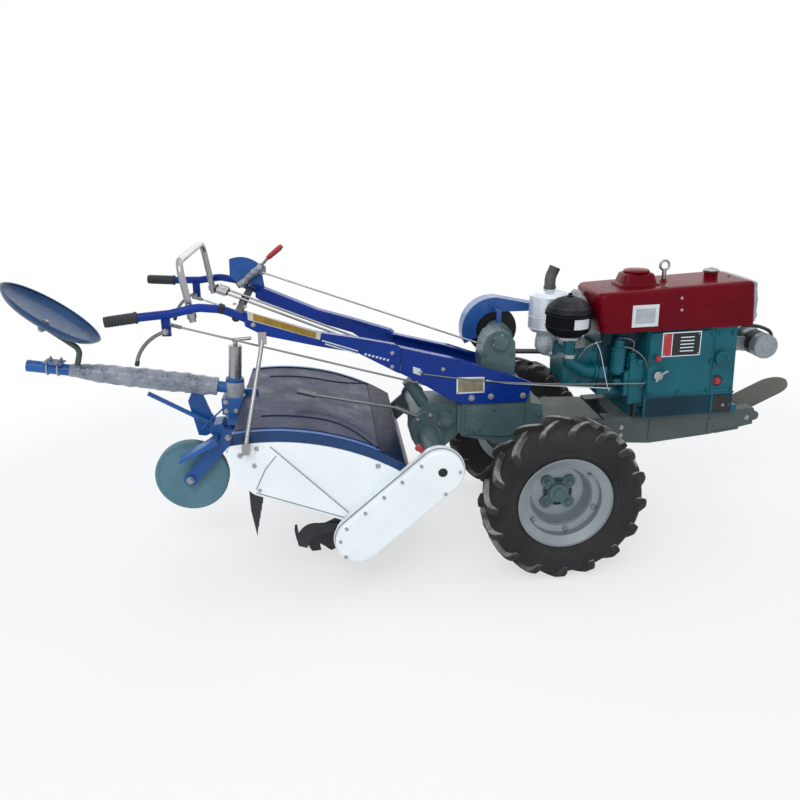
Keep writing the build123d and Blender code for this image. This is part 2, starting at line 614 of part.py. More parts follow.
# tiller's hand lever, along the top of the cover
lever_rod = bar((-617, -88, 592), (-940, -88, 654), 5) + bar((-935, -88, 653), (-1008, -88, 674), 11)
lever_rod += bar((-617, -88, 593), (-520, -88, 548), 9)
nodes["tiller_lever"] = lever_rod - nodes["tiller_gearcase"]

brace_foot = case_inner + 27  # the rod's foot stands this far out
brace = bar((-1116, -264, 936), (-1180, -brace_foot, 592), 8) + block(-1132, -1102, -276, -252, 916, 962)
brace += block(-1194, -1168, -brace_foot - 10, -case_inner, 560, 602)
nodes["brace_rod"] = brace - nodes["handlebar_right"]

# ---- tail column, seat beam and seat ----
column = bar(on_column(40), on_column(lean_length), column_radius)
column += bar(on_column(lean_length - 1), on_column(lean_length + 26), 9)
grip_x, _, grip_z = on_column(lean_length + 22)
column += bar((grip_x - 14, 0, grip_z), (grip_x + 62, 0, grip_z + 6), 7)
nodes["tail_column"] = column
sleeve = bar(on_column(30), on_column(228), sleeve_radius) - bar(on_column(0), on_column(240), column_radius)
nodes["column_sleeve"] = sleeve
clamp = slab([(-1312, 566), (-1312, 632), (-1227, 632), (-1250, 566)], -46, 46)
clamp += both(block(-1290, beam_rear, 38, 90, 538, 558) + block(-1290, beam_rear, 36, 46, 538, 600))
pin_handle = bar((-1304, -49, 598), (-1400, -49, 508), 3.5)
stay = block(-1240, -1172, 34, 46, 626, 646)
nodes["column_clamp"] = clamp + pin_handle + stay - sleeve_space - nodes["tiller_cover"]

beam_radius = 23.0
beam_wall = 6.0
beam_front = (-1265.0, 664.0)  # the beam's axis where it meets the column, X and Z
beam_end = (-2051.0, 777.0)
beam_slope = degrees(atan2(beam_end[1] - beam_front[1], beam_front[0] - beam_end[0]))
beam_length = hypot(beam_end[0] - beam_front[0], beam_end[1] - beam_front[1])
seat_frame = Pos(beam_front[0], 0, beam_front[1]) * Rot(0, beam_slope - 90, 0)  # Z runs rearward


def along_beam(radius, start, end):
    """A round on the beam's axis between two distances behind its front end."""
    return Pos(0, 0, start) * Cylinder(radius, end - start, align=STANDING)


beam = along_beam(beam_radius, 8, beam_length) - along_beam(beam_radius - beam_wall, 60, beam_length + 1)
nodes["seat_beam"] = seat_frame * beam - sleeve_space

seat_tilt = 35.9
seat_roll = -7.0  # the pan has tipped a little to the machine's left
pan_centre = (-1928.0, 987.0)
pan_depth = 52.0
pan_wall = 3.0
pan_edge = seat_diameter / 2
pan_bolt = 7.0
bottom_arc = ThreePointArc((pan_bolt, -pan_depth), (100, 8 - pan_depth), (166, 22 - pan_depth))
wall_arc = ThreePointArc((166, 22 - pan_depth), (187, 36 - pan_depth), (pan_edge, 0))
pan_line = bottom_arc + wall_arc
pan = revolve(Plane.XZ * trace(pan_line, line_width=pan_wall), Axis.Z)
seat_place = Pos(pan_centre[0], 0, pan_centre[1]) * Rot(0, seat_tilt, 0) * Rot(seat_roll, 0, 0)
nodes["seat_pan"] = seat_place * pan

seat_bar_radius = 11.0
seat_bar = tube([(-1864, 0, 770.5), (-1844, 0, 837), (-1982, 0, 945)], seat_bar_radius, 36)
seat_bolt = upright(0, 0, pan_bolt, -pan_depth - 30, -pan_depth + pan_wall)
seat_bolt += upright(0, 0, 15, -pan_depth + pan_wall / 2, -pan_depth + 6)
seat_bolt += upright(0, 0, 15, -pan_depth - 26, -pan_depth - pan_wall / 2)
nodes["seat_spring"] = (seat_place * seat_bolt - nodes["seat_pan"]) + (seat_bar - nodes["seat_beam"])

# film wound round the beam, thicker towards the column; the seat bar comes out through it
wrap_line = [(beam_radius, 62), (39, 62), (42, 160), (43, 340), (39, 520), (29, 600), (26, 636),
             (beam_radius, 636)]
wrap_face = Plane.XZ * Polygon(*wrap_line, align=None)
nodes["beam_wrap"] = seat_frame * revolve(wrap_face, Axis.Z) - nodes["seat_spring"]

# ---- tail fork with its pedals, and the tail wheel ----
fork = bar(on_column(-26), on_column(24), 33) + bar(on_column(20), on_column(39), 18)
fork += link((-1296, 470), tail_wheel_axle, 27, -54, -42)
fork += slab([(-1256, 505), (-1256, 452), (-1290, 440), (-1330, 452), (-1372, 500), (-1350, 528),
              (-1318, 530), (-1300, 505)], -54, 38)
fork += disc(*tail_wheel_axle, 12, -62, 28)
fork += disc(*tail_wheel_axle, 22, -62, -36)
nodes["tail_fork"] = fork
pedals = disc(-1341, 478, 9, -128, 120)
pedals += bar((-1341, 40, 478), (-1616, 40, 637), 9.5)
pedals += slab([(-1332, 470), (-1341, 494), (-1372, 534), (-1405, 630), (-1448, 626), (-1464, 592),
                (-1432, 440), (-1402, 436)], 60, 68)
pedals += slab([(-1332, 466), (-1326, 474), (-1332, 488), (-1350, 488), (-1372, 470), (-1486, 402),
                (-1482, 392)], -128, -62)
nodes["foot_pedals"] = pedals - nodes["tail_fork"]

tail_bore = 12 + turning_gap
tail = turned([(tail_bore, -30), (28, -30), (34, -12), (130, -14), (142, -18), (tail_wheel_radius, -16),
               (tail_wheel_radius, 20), (148, 22), (142, 6), (130, -6), (34, -2), (28, 22), (tail_bore, 22)])
nodes["tail_wheel"] = Pos(tail_wheel_axle[0], 0, tail_wheel_axle[1]) * tail

for name, piece in nodes.items():
    export_step(park(piece), f"parts/{name}.step")
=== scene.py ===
import json
from math import atan2, cos, degrees, hypot, pi, radians, sin

import bmesh
import bpy
from mathutils import Matrix, Vector, noise


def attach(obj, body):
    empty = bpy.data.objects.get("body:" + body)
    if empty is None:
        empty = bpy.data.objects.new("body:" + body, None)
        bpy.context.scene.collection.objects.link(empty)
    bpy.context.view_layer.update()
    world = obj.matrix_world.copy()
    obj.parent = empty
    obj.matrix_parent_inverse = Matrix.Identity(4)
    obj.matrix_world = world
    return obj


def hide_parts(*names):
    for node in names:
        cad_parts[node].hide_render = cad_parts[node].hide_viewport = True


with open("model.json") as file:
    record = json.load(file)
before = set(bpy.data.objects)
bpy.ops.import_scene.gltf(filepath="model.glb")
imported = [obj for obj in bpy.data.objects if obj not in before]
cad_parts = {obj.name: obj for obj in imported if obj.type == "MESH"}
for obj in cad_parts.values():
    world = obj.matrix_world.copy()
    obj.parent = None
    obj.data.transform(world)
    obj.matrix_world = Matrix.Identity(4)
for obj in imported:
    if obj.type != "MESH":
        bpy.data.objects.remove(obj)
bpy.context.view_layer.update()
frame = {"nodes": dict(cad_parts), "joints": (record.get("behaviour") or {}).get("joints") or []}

MM = 0.001  # metres in a millimetre
WHITE = (1, 1, 1, 1)

# ---- camera ----
scene = bpy.context.scene
camera = bpy.data.objects.new("camera", bpy.data.cameras.new("camera"))
camera.location = (-0.3516, -2.8888, 1.6505)
camera.rotation_euler = (radians(70.462), radians(2.514), radians(-5.714))
camera.data.sensor_width = 36
camera.data.lens = 33.139
scene.collection.objects.link(camera)
scene.camera = camera
scene.view_settings.view_transform = "Standard"

# ---- floor and light ----
LAMPS = (  # name, place, size in metres, power in watts
    ("key", (-1.2, -4.2, 4.6), 3.4, 105),
    ("top", (1.5, 1.0, 5.5), 5.0, 38),
    ("back", (0.0, 5.0, 3.0), 4.0, 45))
LAMPS_AIM = Vector((0, 0, 0.5))
FLOOR_REACH = 40.0
FLOOR_LIFT = 0.62  # how far the floor near the machine is lifted towards white
FADE_START = 1.2  # metres from the middle where the floor starts to fade to white
FADE_END = 3.4


def new_tree(owner):
    """Node tree of a material or world, emptied."""
    owner.use_nodes = True
    owner.node_tree.nodes.clear()
    return owner.node_tree


def add(tree, kind, values=(), **settings):
    """Node of a kind, with its settings, its inputs' values, and links where a value is a socket."""
    node = tree.nodes.new(kind)
    for name, value in settings.items():
        setattr(node, name, value)
    for key, value in dict(values).items():
        if isinstance(value, bpy.types.NodeSocket):
            tree.links.new(value, node.inputs[key])
        else:
            node.inputs[key].default_value = value
    return node


def maths(tree, operation, a, b=0.0, clamp=False):
    """Result of one step of arithmetic."""
    return add(tree, "ShaderNodeMath", {0: a, 1: b}, operation=operation, use_clamp=clamp).outputs[0]


def backdrop_rays(tree):
    """1 where the camera, a mirror or glass looks straight at the backdrop."""
    rays = add(tree, "ShaderNodeLightPath").outputs
    seen = maths(tree, "MAXIMUM", rays["Is Camera Ray"], rays["Is Transmission Ray"])
    return maths(tree, "MAXIMUM", seen, rays["Is Glossy Ray"])


def surroundings():
    """White where the camera looks, and an even pale light on the machine."""
    world = bpy.data.worlds.new("studio")
    scene.world = world
    tree = new_tree(world)
    shown = add(tree, "ShaderNodeBackground", {"Color": WHITE, "Strength": 1.0}).outputs[0]
    lit = add(tree, "ShaderNodeBackground", {"Color": (0.90, 0.95, 1.0, 1), "Strength": 0.70}).outputs[0]
    mix = add(tree, "ShaderNodeMixShader", {"Fac": backdrop_rays(tree), 1: lit, 2: shown})
    add(tree, "ShaderNodeOutputWorld", {"Surface": mix.outputs[0]})


def lamps():
    """Three soft lamps that face the machine."""
    for name, place, size, power in LAMPS:
        lamp = bpy.data.lights.new(name, "AREA")
        lamp.size = size
        lamp.energy = power
        holder = bpy.data.objects.new(name, lamp)
        holder.location = place
        holder.rotation_euler = (LAMPS_AIM - Vector(place)).to_track_quat("-Z", "Y").to_euler()
        scene.collection.objects.link(holder)


def floor_paint():
    """Pale matt paint that fades to white away from the machine."""
    paint = bpy.data.materials.new("floor")
    tree = new_tree(paint)
    matt = add(tree, "ShaderNodeBsdfDiffuse", {"Color": (0.92, 0.92, 0.92, 1)}).outputs[0]
    white = add(tree, "ShaderNodeEmission", {"Color": WHITE, "Strength": 1.0}).outputs[0]
    spot = add(tree, "ShaderNodeTexCoord").outputs["Object"]
    apart = add(tree, "ShaderNodeVectorMath", {0: spot}, operation="LENGTH").outputs["Value"]
    fade = add(tree, "ShaderNodeMapRange", {"Value": apart, "From Min": FADE_START, "From Max": FADE_END},
               interpolation_type="SMOOTHSTEP").outputs[0]
    pale = maths(tree, "MAXIMUM", fade, FLOOR_LIFT)
    far = maths(tree, "MULTIPLY", pale, backdrop_rays(tree))
    mix = add(tree, "ShaderNodeMixShader", {"Fac": far, 1: matt, 2: white})
    add(tree, "ShaderNodeOutputMaterial", {"Surface": mix.outputs[0]})
    return paint


def floor():
    """Wide level sheet under the machine, left out of the model itself."""
    mesh = bpy.data.meshes.new("floor")
    corners = [(x * FLOOR_REACH, y * FLOOR_REACH, 0) for x, y in ((-1, -1), (1, -1), (1, 1), (-1, 1))]
    mesh.from_pydata(corners, [], [(0, 1, 2, 3)])
    mesh.materials.append(floor_paint())
    sheet = bpy.data.objects.new("floor", mesh)
    scene.collection.objects.link(sheet)


surroundings()
lamps()
floor()

# ---- where things are: the machine's datum and the engine bed, in millimetres ----
joints = {joint["name"]: joint for joint in frame["joints"]}
axle = Vector(joints["left_wheel_spin"]["pos_m"])
axle.y = 0
rotor = Vector(joints["rotor_spin"]["pos_m"])
ROTOR_FROM_AXLE = (-785.0, -115.0)  # X and Z on the machine's datum
BED = (480.0, 552.0)  # engine bed's reference point, X and Z
BED_TILT = 2.3  # degrees
pitch = atan2(ROTOR_FROM_AXLE[1], ROTOR_FROM_AXLE[0]) - atan2(rotor.z - axle.z, rotor.x - axle.x)
datum = (Matrix.Translation(axle) @ Matrix.Rotation(pitch, 4, "Y") @ Matrix.Translation((0, 0, -axle.z))
         @ Matrix.Scale(MM, 4))
bed = datum @ Matrix.Translation((BED[0], 0, BED[1])) @ Matrix.Rotation(radians(-BED_TILT), 4, "Y")
TRACK_HALF = 400.0  # from the middle to a wheel's own middle
TYRE_RADIUS = 320.0
SIDES = (("near", -1), ("far", 1))  # the machine's right side is the near one
UP = (0, 0, 1)
TO_NEAR = (0, -1, 0)


# ---- effects that several materials share ----
def effect(name, inputs, outputs):
    """Empty shader node group with named sockets: (name, default) in, (name, kind) out."""
    group = bpy.data.node_groups.new(name, "ShaderNodeTree")
    for label, value in inputs:
        kind = "NodeSocketVector" if isinstance(value, tuple) else "NodeSocketFloat"
        socket = group.interface.new_socket(label, in_out="INPUT", socket_type=kind)
        socket.default_value = value
    for label, kind in outputs:
        group.interface.new_socket(label, in_out="OUTPUT", socket_type="NodeSocket" + kind)
    return group, add(group, "NodeGroupInput").outputs, add(group, "NodeGroupOutput").inputs


def noise_at(tree, where, scale, detail=3.0, rough=0.55):
    """Smooth noise at a place, from 0 to 1."""
    return add(tree, "ShaderNodeTexNoise", {"Vector": where, "Scale": scale, "Detail": detail,
                                            "Roughness": rough}).outputs["Fac"]


def between(tree, value, low, high, out_low=0.0, out_high=1.0):
    """A value between two limits, carried over to two other limits."""
    return add(tree, "ShaderNodeMapRange", {"Value": value, "From Min": low, "From Max": high,
                                            "To Min": out_low, "To Max": out_high}).outputs[0]


def make_mottle():
    """Slow and fine unevenness of a colour or a gloss."""
    group, given, out = effect("mottle", [("Scale", 6.0)], [("Slow", "Float"), ("Fine", "Float")])
    spot = add(group, "ShaderNodeTexCoord").outputs["Object"]
    slow = noise_at(group, spot, given["Scale"], 4.0)
    fine = noise_at(group, spot, maths(group, "MULTIPLY", given["Scale"], 14.0), 3.0)
    group.links.new(between(group, slow, 0.32, 0.68), out["Slow"])
    group.links.new(between(group, fine, 0.3, 0.7), out["Fine"])
    return group


def make_grain():
    """Height of a surface's grain: orange peel on paint, sand-cast skin on castings."""
    group, given, out = effect("grain", [("Scale", 300.0), ("Pits", 0.0)], [("Height", "Float")])
    spot = add(group, "ShaderNodeTexCoord").outputs["Object"]
    peel = noise_at(group, spot, given["Scale"], 2.0)
    half = maths(group, "MULTIPLY", given["Scale"], 0.5)
    cells = add(group, "ShaderNodeTexVoronoi", {"Vector": spot, "Scale": half},
                feature="SMOOTH_F1").outputs["Distance"]
    pits = maths(group, "MULTIPLY", between(group, cells, 0.0, 0.6), given["Pits"])
    group.links.new(maths(group, "ADD", peel, pits), out["Height"])
    return group


def make_edges():
    """Rounded normal for sharp corners, and a mask of the edges that rub bare."""
    group, given, out = effect("edges", [("Radius", 0.002), ("Amount", 0.4)],
                               [("Mask", "Float"), ("Normal", "Vector")])
    round_normal = add(group, "ShaderNodeBevel", {"Radius": given["Radius"]}, samples=4).outputs[0]
    flat = add(group, "ShaderNodeNewGeometry").outputs["Normal"]
    same = add(group, "ShaderNodeVectorMath", {0: round_normal, 1: flat}, operation="DOT_PRODUCT")
    edge = between(group, same.outputs["Value"], 0.995, 0.90)
    spot = add(group, "ShaderNodeTexCoord").outputs["Object"]
    patches = between(group, noise_at(group, spot, 45.0, 5.0, 0.7), 0.42, 0.62)
    worn = maths(group, "MULTIPLY", maths(group, "MULTIPLY", edge, patches), given["Amount"], clamp=True)
    group.links.new(worn, out["Mask"])
    group.links.new(round_normal, out["Normal"])
    return group


def make_dust():
    """Mask of the dust that settles on upward faces and lies in patches elsewhere."""
    group, given, out = effect("dust", [("Top", 0.5), ("Sides", 0.1)], [("Mask", "Float")])
    normal = add(group, "ShaderNodeNewGeometry").outputs["Normal"]
    facing = add(group, "ShaderNodeSeparateXYZ", {0: normal}).outputs["Z"]
    top = maths(group, "MULTIPLY", between(group, facing, 0.15, 0.95), given["Top"])
    spot = add(group, "ShaderNodeTexCoord").outputs["Object"]
    patches = between(group, noise_at(group, spot, 9.0, 6.0, 0.62), 0.35, 0.75)
    fine = between(group, noise_at(group, spot, 240.0, 2.0), 0.3, 0.7, 0.6, 1.0)
    both = maths(group, "MULTIPLY", maths(group, "ADD", top, given["Sides"]), patches)
    group.links.new(maths(group, "MULTIPLY", both, fine, clamp=True), out["Mask"])
    return group


def make_crinkle():
    """Height of crumpled film, and a mask of its folds, which the film lightens into a painted highlight."""
    group, given, out = effect("crinkle", [("Scale", 60.0)], [("Height", "Float"), ("Fold Highlight", "Float")])
    spot = add(group, "ShaderNodeTexCoord").outputs["Object"]
    drift = add(group, "ShaderNodeTexNoise", {"Vector": spot, "Scale": 18.0}).outputs["Color"]
    shift = add(group, "ShaderNodeVectorMath", {0: drift, "Scale": 0.05}, operation="SCALE").outputs[0]
    bent = add(group, "ShaderNodeVectorMath", {0: spot, 1: shift}, operation="ADD")
    cells = add(group, "ShaderNodeTexVoronoi", {"Vector": bent.outputs[0], "Scale": given["Scale"]},
                feature="DISTANCE_TO_EDGE").outputs["Distance"]
    fold = between(group, cells, 0.0, 0.14, 1.0, 0.0)
    soft = noise_at(group, bent.outputs[0], maths(group, "MULTIPLY", given["Scale"], 0.6), 4.0, 0.65)
    group.links.new(maths(group, "ADD", maths(group, "MULTIPLY", fold, 0.5), soft), out["Height"])
    group.links.new(fold, out["Fold Highlight"])
    return group


MOTTLE, GRAIN, EDGES, DUST, CRINKLE = make_mottle(), make_grain(), make_edges(), make_dust(), make_crinkle()


def place_effect(tree, group, **values):
    """Outputs of a shared effect in a material, with this material's own numbers."""
    node = add(tree, "ShaderNodeGroup", node_tree=group)
    for name, value in values.items():
        node.inputs[name.title()].default_value = value
    return node.outputs


def blend_colour(tree, amount, a, b):
    """Colour a mixed with colour b by an amount; each may be a value or a socket."""
    node = add(tree, "ShaderNodeMix", data_type="RGBA")
    for key, value in ((0, amount), (6, a), (7, b)):
        if isinstance(value, bpy.types.NodeSocket):
            tree.links.new(value, node.inputs[key])
        else:
            node.inputs[key].default_value = value if key == 0 else (*value[:3], 1)
    return node.outputs[2]


def shade(colour, factor):
    """A colour made lighter or darker."""
    return tuple(min(1.0, c * factor) for c in colour)


# ---- finishes: paint, cast iron, rubber, plastic, steel, printed marks and film ----
materials = {}
GLOSS_SPREAD = (-0.06, 0.08)  # how far a finish's roughness wanders
DUST_DULLS = 0.55  # what settled dust adds to it
FOLD_HIGHLIGHT_COLOUR = (0.78, 0.80, 0.84)  # painted highlight on the film's folds
FOLD_GLOSS = (0.22, 0.47)  # its least and greatest roughness


def finish(name, colour, rough=0.36, metal=0.0, coat=0.0, tone=0.2, scale=5.0, grain=200.0,
           grain_depth=0.0004, pits=0.0, edge=0.002, wear=0.3, bare=(0.5, 0.5, 0.5), dust=(0.1, 0.06),
           dust_colour=(0.3, 0.27, 0.24), specular=0.25):
    """A painted, cast, rubber or plastic surface: uneven colour, grain, rubbed edges and dust.

    Tone is how far the colour wanders, wear how far edges are rubbed bare, and dust how much lies on
    upward faces and on the others. Grain depth and edge width are in metres.
    """
    material = bpy.data.materials.new(name)
    tree = new_tree(material)
    patches = place_effect(tree, MOTTLE, scale=scale)
    base = blend_colour(tree, patches["Slow"], shade(colour, 1 - tone), shade(colour, 1 + tone))
    fine = maths(tree, "MULTIPLY", patches["Fine"], tone * 0.5)
    base = blend_colour(tree, fine, base, shade(colour, 1 - tone))
    edges = place_effect(tree, EDGES, radius=edge, amount=wear)
    base = blend_colour(tree, edges["Mask"], base, bare)
    settled = place_effect(tree, DUST, top=dust[0], sides=dust[1])
    base = blend_colour(tree, settled["Mask"], base, dust_colour)
    gloss = between(tree, patches["Fine"], 0.0, 1.0, rough + GLOSS_SPREAD[0], rough + GLOSS_SPREAD[1])
    gloss = maths(tree, "ADD", gloss, maths(tree, "MULTIPLY", settled["Mask"], DUST_DULLS), clamp=True)
    height = place_effect(tree, GRAIN, scale=grain, pits=pits)["Height"]
    relief = {"Height": height, "Distance": grain_depth, "Strength": 1.0, "Normal": edges["Normal"]}
    bump = add(tree, "ShaderNodeBump", relief).outputs[0]
    looks = {"Base Color": base, "Roughness": gloss, "Metallic": metal, "Normal": bump,
             "Coat Weight": coat, "Coat Roughness": 0.12, "Specular IOR Level": specular}
    surface = add(tree, "ShaderNodeBsdfPrincipled", looks)
    add(tree, "ShaderNodeOutputMaterial", {"Surface": surface.outputs[0]})
    materials[name] = material
    return material


def film(name, colour, clear, scale):
    """Crumpled plastic film: the colour of what it wraps shows between its folds, which carry a painted
    highlight that also lies in slow patches.
    """
    material = bpy.data.materials.new(name)
    tree = new_tree(material)
    folds = place_effect(tree, CRINKLE, scale=scale)
    patches = place_effect(tree, MOTTLE, scale=14.0)
    # painted highlight: the folds and slow patches of the film are lightened towards a pale grey
    fold_highlight = maths(tree, "MULTIPLY", maths(tree, "MAXIMUM", folds["Fold Highlight"], patches["Slow"]), 1 - clear)
    base = blend_colour(tree, fold_highlight, colour, FOLD_HIGHLIGHT_COLOUR)
    gloss = between(tree, patches["Fine"], 0.0, 1.0, *FOLD_GLOSS)
    relief = {"Height": folds["Height"], "Distance": 0.004, "Strength": 0.8}
    bump = add(tree, "ShaderNodeBump", relief).outputs[0]
    looks = {"Base Color": base, "Roughness": gloss, "Normal": bump,
             "Coat Weight": 0.6, "Coat Roughness": 0.15}
    surface = add(tree, "ShaderNodeBsdfPrincipled", looks)
    add(tree, "ShaderNodeOutputMaterial", {"Surface": surface.outputs[0]})
    materials[name] = material
    return material


# what printed and painted-on marks share
PRINTED = {"rough": 0.4, "grain": 400, "grain_depth": 0.0001, "edge": 0.0005, "wear": 0.1}
finish("tyre rubber", (0.022, 0.021, 0.023), rough=0.62, specular=0.2, tone=0.35, scale=7, grain=500,
       grain_depth=0.0005, edge=0.003, wear=0.55, bare=(0.3, 0.28, 0.26), dust=(0.3, 0.14),
       dust_colour=(0.075, 0.064, 0.06))
finish("lug face", (0.030, 0.028, 0.028), rough=0.7, specular=0.2, tone=0.3, grain=400, grain_depth=0.0006,
       edge=0.004, wear=0.35, bare=(0.26, 0.25, 0.23), dust=(3, 0.05), dust_colour=(0.36, 0.35, 0.33))
finish("wheel silver", (0.27, 0.31, 0.33), rough=0.32, metal=0.45, coat=0.15, tone=0.12, grain=260,
       grain_depth=0.0003, edge=0.0015, wear=0.15, bare=(0.2, 0.18, 0.16), dust=(0.2, 0.14),
       dust_colour=(0.2, 0.2, 0.19))
finish("casting green-grey", (0.082, 0.140, 0.150), coat=0.15, tone=0.22, grain=190, grain_depth=0.0009,
       pits=0.5, edge=0.003, bare=(0.16, 0.2, 0.2), dust=(0.45, 0.1), dust_colour=(0.19, 0.19, 0.18))
finish("frame grey", (0.068, 0.088, 0.090), rough=0.42, coat=0.1, grain=260, wear=0.45,
       bare=(0.24, 0.27, 0.27), dust=(0.55, 0.08), dust_colour=(0.22, 0.22, 0.2))
finish("handle blue", (0.003, 0.032, 0.250), rough=0.24, coat=0.1, specular=0.12, tone=0.16, grain=180,
       grain_depth=0.0003, edge=0.003, wear=0.12, bare=(0.05, 0.1, 0.26), dust=(0.03, 0.02),
       dust_colour=(0.2, 0.24, 0.32))
# lightened to make up for the shade on the guard's near face: painted light
finish("guard blue with painted light", (0.020, 0.100, 0.35), rough=0.26, coat=0.2, tone=0.18, grain=180, grain_depth=0.0003,
       edge=0.003, wear=0.12, bare=(0.2, 0.28, 0.4), dust=(0.22, 0.06), dust_colour=(0.22, 0.27, 0.34))
finish("tail blue", (0.012, 0.105, 0.37), rough=0.3, coat=0.15, wear=0.2, bare=(0.25, 0.3, 0.38),
       dust=(0.3, 0.07), dust_colour=(0.22, 0.27, 0.35))
finish("cover blue", (0.016, 0.027, 0.078), coat=0.1, specular=0.12, scale=3, wear=0.15,
       bare=(0.2, 0.22, 0.3), dust=(1, 0.1), dust_colour=(0.085, 0.09, 0.118))
finish("white enamel", (0.89, 0.94, 0.955), rough=0.22, coat=0.5, tone=0.035, grain=160, grain_depth=0.0003,
       wear=0.25, bare=(0.42, 0.42, 0.42), dust=(0.18, 0.06), dust_colour=(0.5, 0.51, 0.53))
finish("engine teal", (0.006, 0.105, 0.138), rough=0.27, coat=0.1, specular=0.16, tone=0.25, grain=150,
       grain_depth=0.00025, pits=0.15, edge=0.004, wear=0.1, bare=(0.03, 0.19, 0.23), dust=(0, 0),
       dust_colour=(0.16, 0.24, 0.25))
# the engine's teal darkened: painted shade low on the engine, and the colour of a few small dark parts
finish("engine dark and painted shade", (0.005, 0.034, 0.055), rough=0.35, coat=0.1, specular=0.12, tone=0.3, grain=150,
       grain_depth=0.0007, pits=0.4, edge=0.003, wear=0.15, bare=(0.05, 0.15, 0.18), dust=(0.1, 0.03),
       dust_colour=(0.06, 0.09, 0.11))
finish("hood red", (0.138, 0.0, 0.007), rough=0.24, coat=0.08, specular=0.06, tone=0.12, grain=130,
       grain_depth=0.0002, edge=0.004, wear=0.08, bare=(0.3, 0.03, 0.04), dust=(0.03, 0.01),
       dust_colour=(0.42, 0.22, 0.22))
finish("black plastic", (0.005, 0.005, 0.008), rough=0.42, specular=0.06, grain=320, grain_depth=0.0003,
       wear=0.2, bare=(0.1, 0.1, 0.1), dust=(0.7, 0), dust_colour=(0.16, 0.16, 0.165))
finish("black rubber", (0.024, 0.026, 0.030), rough=0.6, specular=0.35, grain=420, edge=0.001, wear=0.25,
       bare=(0.1, 0.1, 0.11), dust=(0.3, 0.08), dust_colour=(0.13, 0.14, 0.15))
finish("black steel", (0.018, 0.018, 0.020), rough=0.45, tone=0.3, grain=240, wear=0.35,
       bare=(0.12, 0.12, 0.13), dust=(0.35, 0.1), dust_colour=(0.12, 0.12, 0.13))
finish("bright steel", (0.33, 0.335, 0.35), rough=0.24, metal=0.95, tone=0.12, grain=280, grain_depth=0.0002,
       edge=0.001, wear=0.2, bare=(0.75, 0.75, 0.75), dust=(0.15, 0.05))
finish("dull steel", (0.20, 0.215, 0.22), rough=0.4, metal=0.8, grain=220, edge=0.001, bare=(0.6, 0.6, 0.6),
       dust=(0.3, 0.08), dust_colour=(0.25, 0.24, 0.22))
finish("zinc steel", (0.36, 0.37, 0.38), rough=0.34, metal=0.75, tone=0.18, scale=30, grain=300.0,
       grain_depth=0.0002, edge=0.0008, bare=(0.65, 0.65, 0.63), dust=(0.25, 0.06))
finish("silver paint", (0.74, 0.80, 0.87), rough=0.3, metal=0.35, coat=0.1, tone=0.1, grain=240,
       grain_depth=0.0003, wear=0.2, bare=(0.7, 0.7, 0.7), dust=(0.2, 0.05), dust_colour=(0.42, 0.42, 0.42))
finish("pipe brown", (0.105, 0.105, 0.100), rough=0.5, metal=0.3, tone=0.35, scale=18, grain=220,
       grain_depth=0.0006, edge=0.001, bare=(0.4, 0.38, 0.35), dust=(0.2, 0.1))
finish("blade black", (0.035, 0.037, 0.042), rough=0.42, tone=0.3, grain=240, grain_depth=0.0006, edge=0.0015,
       wear=0.5, bare=(0.3, 0.3, 0.31), dust=(0.2, 0.15), dust_colour=(0.13, 0.13, 0.14))
finish("tail wheel teal", (0.105, 0.225, 0.280), rough=0.48, tone=0.14, scale=9, grain=260, wear=0.2,
       bare=(0.28, 0.36, 0.38), dust=(0.2, 0.12), dust_colour=(0.17, 0.24, 0.27))
finish("stand grey", (0.115, 0.115, 0.100), rough=0.55, scale=9, grain_depth=0.0008, pits=0.4, edge=0.003,
       bare=(0.2, 0.2, 0.18), dust=(0.4, 0.2), dust_colour=(0.17, 0.165, 0.145))
finish("warning red", (0.42, 0.02, 0.03), rough=0.35, coat=0.4, tone=0.15, grain=300.0, edge=0.001, wear=0.1,
       bare=(0.5, 0.2, 0.2), dust=(0.15, 0.05))
finish("decal yellow", (0.29, 0.175, 0.022), tone=0.18, scale=30, bare=(0.6, 0.5, 0.3), dust=(0.1, 0.05),
       **PRINTED)
finish("decal white", (0.66, 0.69, 0.71), tone=0.06, scale=40, dust_colour=(0.4, 0.4, 0.42), **PRINTED)
finish("decal cream", (0.55, 0.53, 0.42), tone=0.06, scale=40, dust_colour=(0.4, 0.4, 0.42), **PRINTED)
finish("label grey", (0.42, 0.44, 0.47), tone=0.12, scale=40, **PRINTED)
finish("bronze plate", (0.27, 0.24, 0.16), metal=0.6, tone=0.25, scale=30, grain=300.0, grain_depth=0.0002,
       edge=0.001, bare=(0.6, 0.58, 0.5), dust=(0.15, 0.1))
# painted shade on the tiller cover: its dark pressed lines and the darker band over its front
finish("cover painted shade", (0.006, 0.013, 0.036), coat=0.03, specular=0.06, scale=3, wear=0.15,
       bare=(0.2, 0.22, 0.3), dust=(0.1, 0.03), dust_colour=(0.03, 0.04, 0.08))
finish("seat blue", (0.010, 0.052, 0.150), rough=0.3, coat=0.15, specular=0.12, tone=0.18, grain=170,
       wear=0.15, bare=(0.2, 0.26, 0.36), dust=(0.03, 0.02), dust_colour=(0.2, 0.25, 0.33))
finish("flank blue", (0.006, 0.040, 0.135), rough=0.24, coat=0.25, specular=0.2, tone=0.25, grain=180,
       grain_depth=0.0003, wear=0.15, bare=(0.2, 0.24, 0.34), dust=(0.1, 0.04),
       dust_colour=(0.12, 0.16, 0.24))
film("clear film on blue", (0.055, 0.080, 0.145), clear=0.58, scale=75.0)
film("clear film on silver", (0.52, 0.55, 0.60), clear=0.45, scale=65.0)
film("clear film on grey", (0.20, 0.21, 0.22), clear=0.70, scale=60.0)
film("clear film on dark", (0.10, 0.12, 0.15), clear=0.45, scale=80.0)

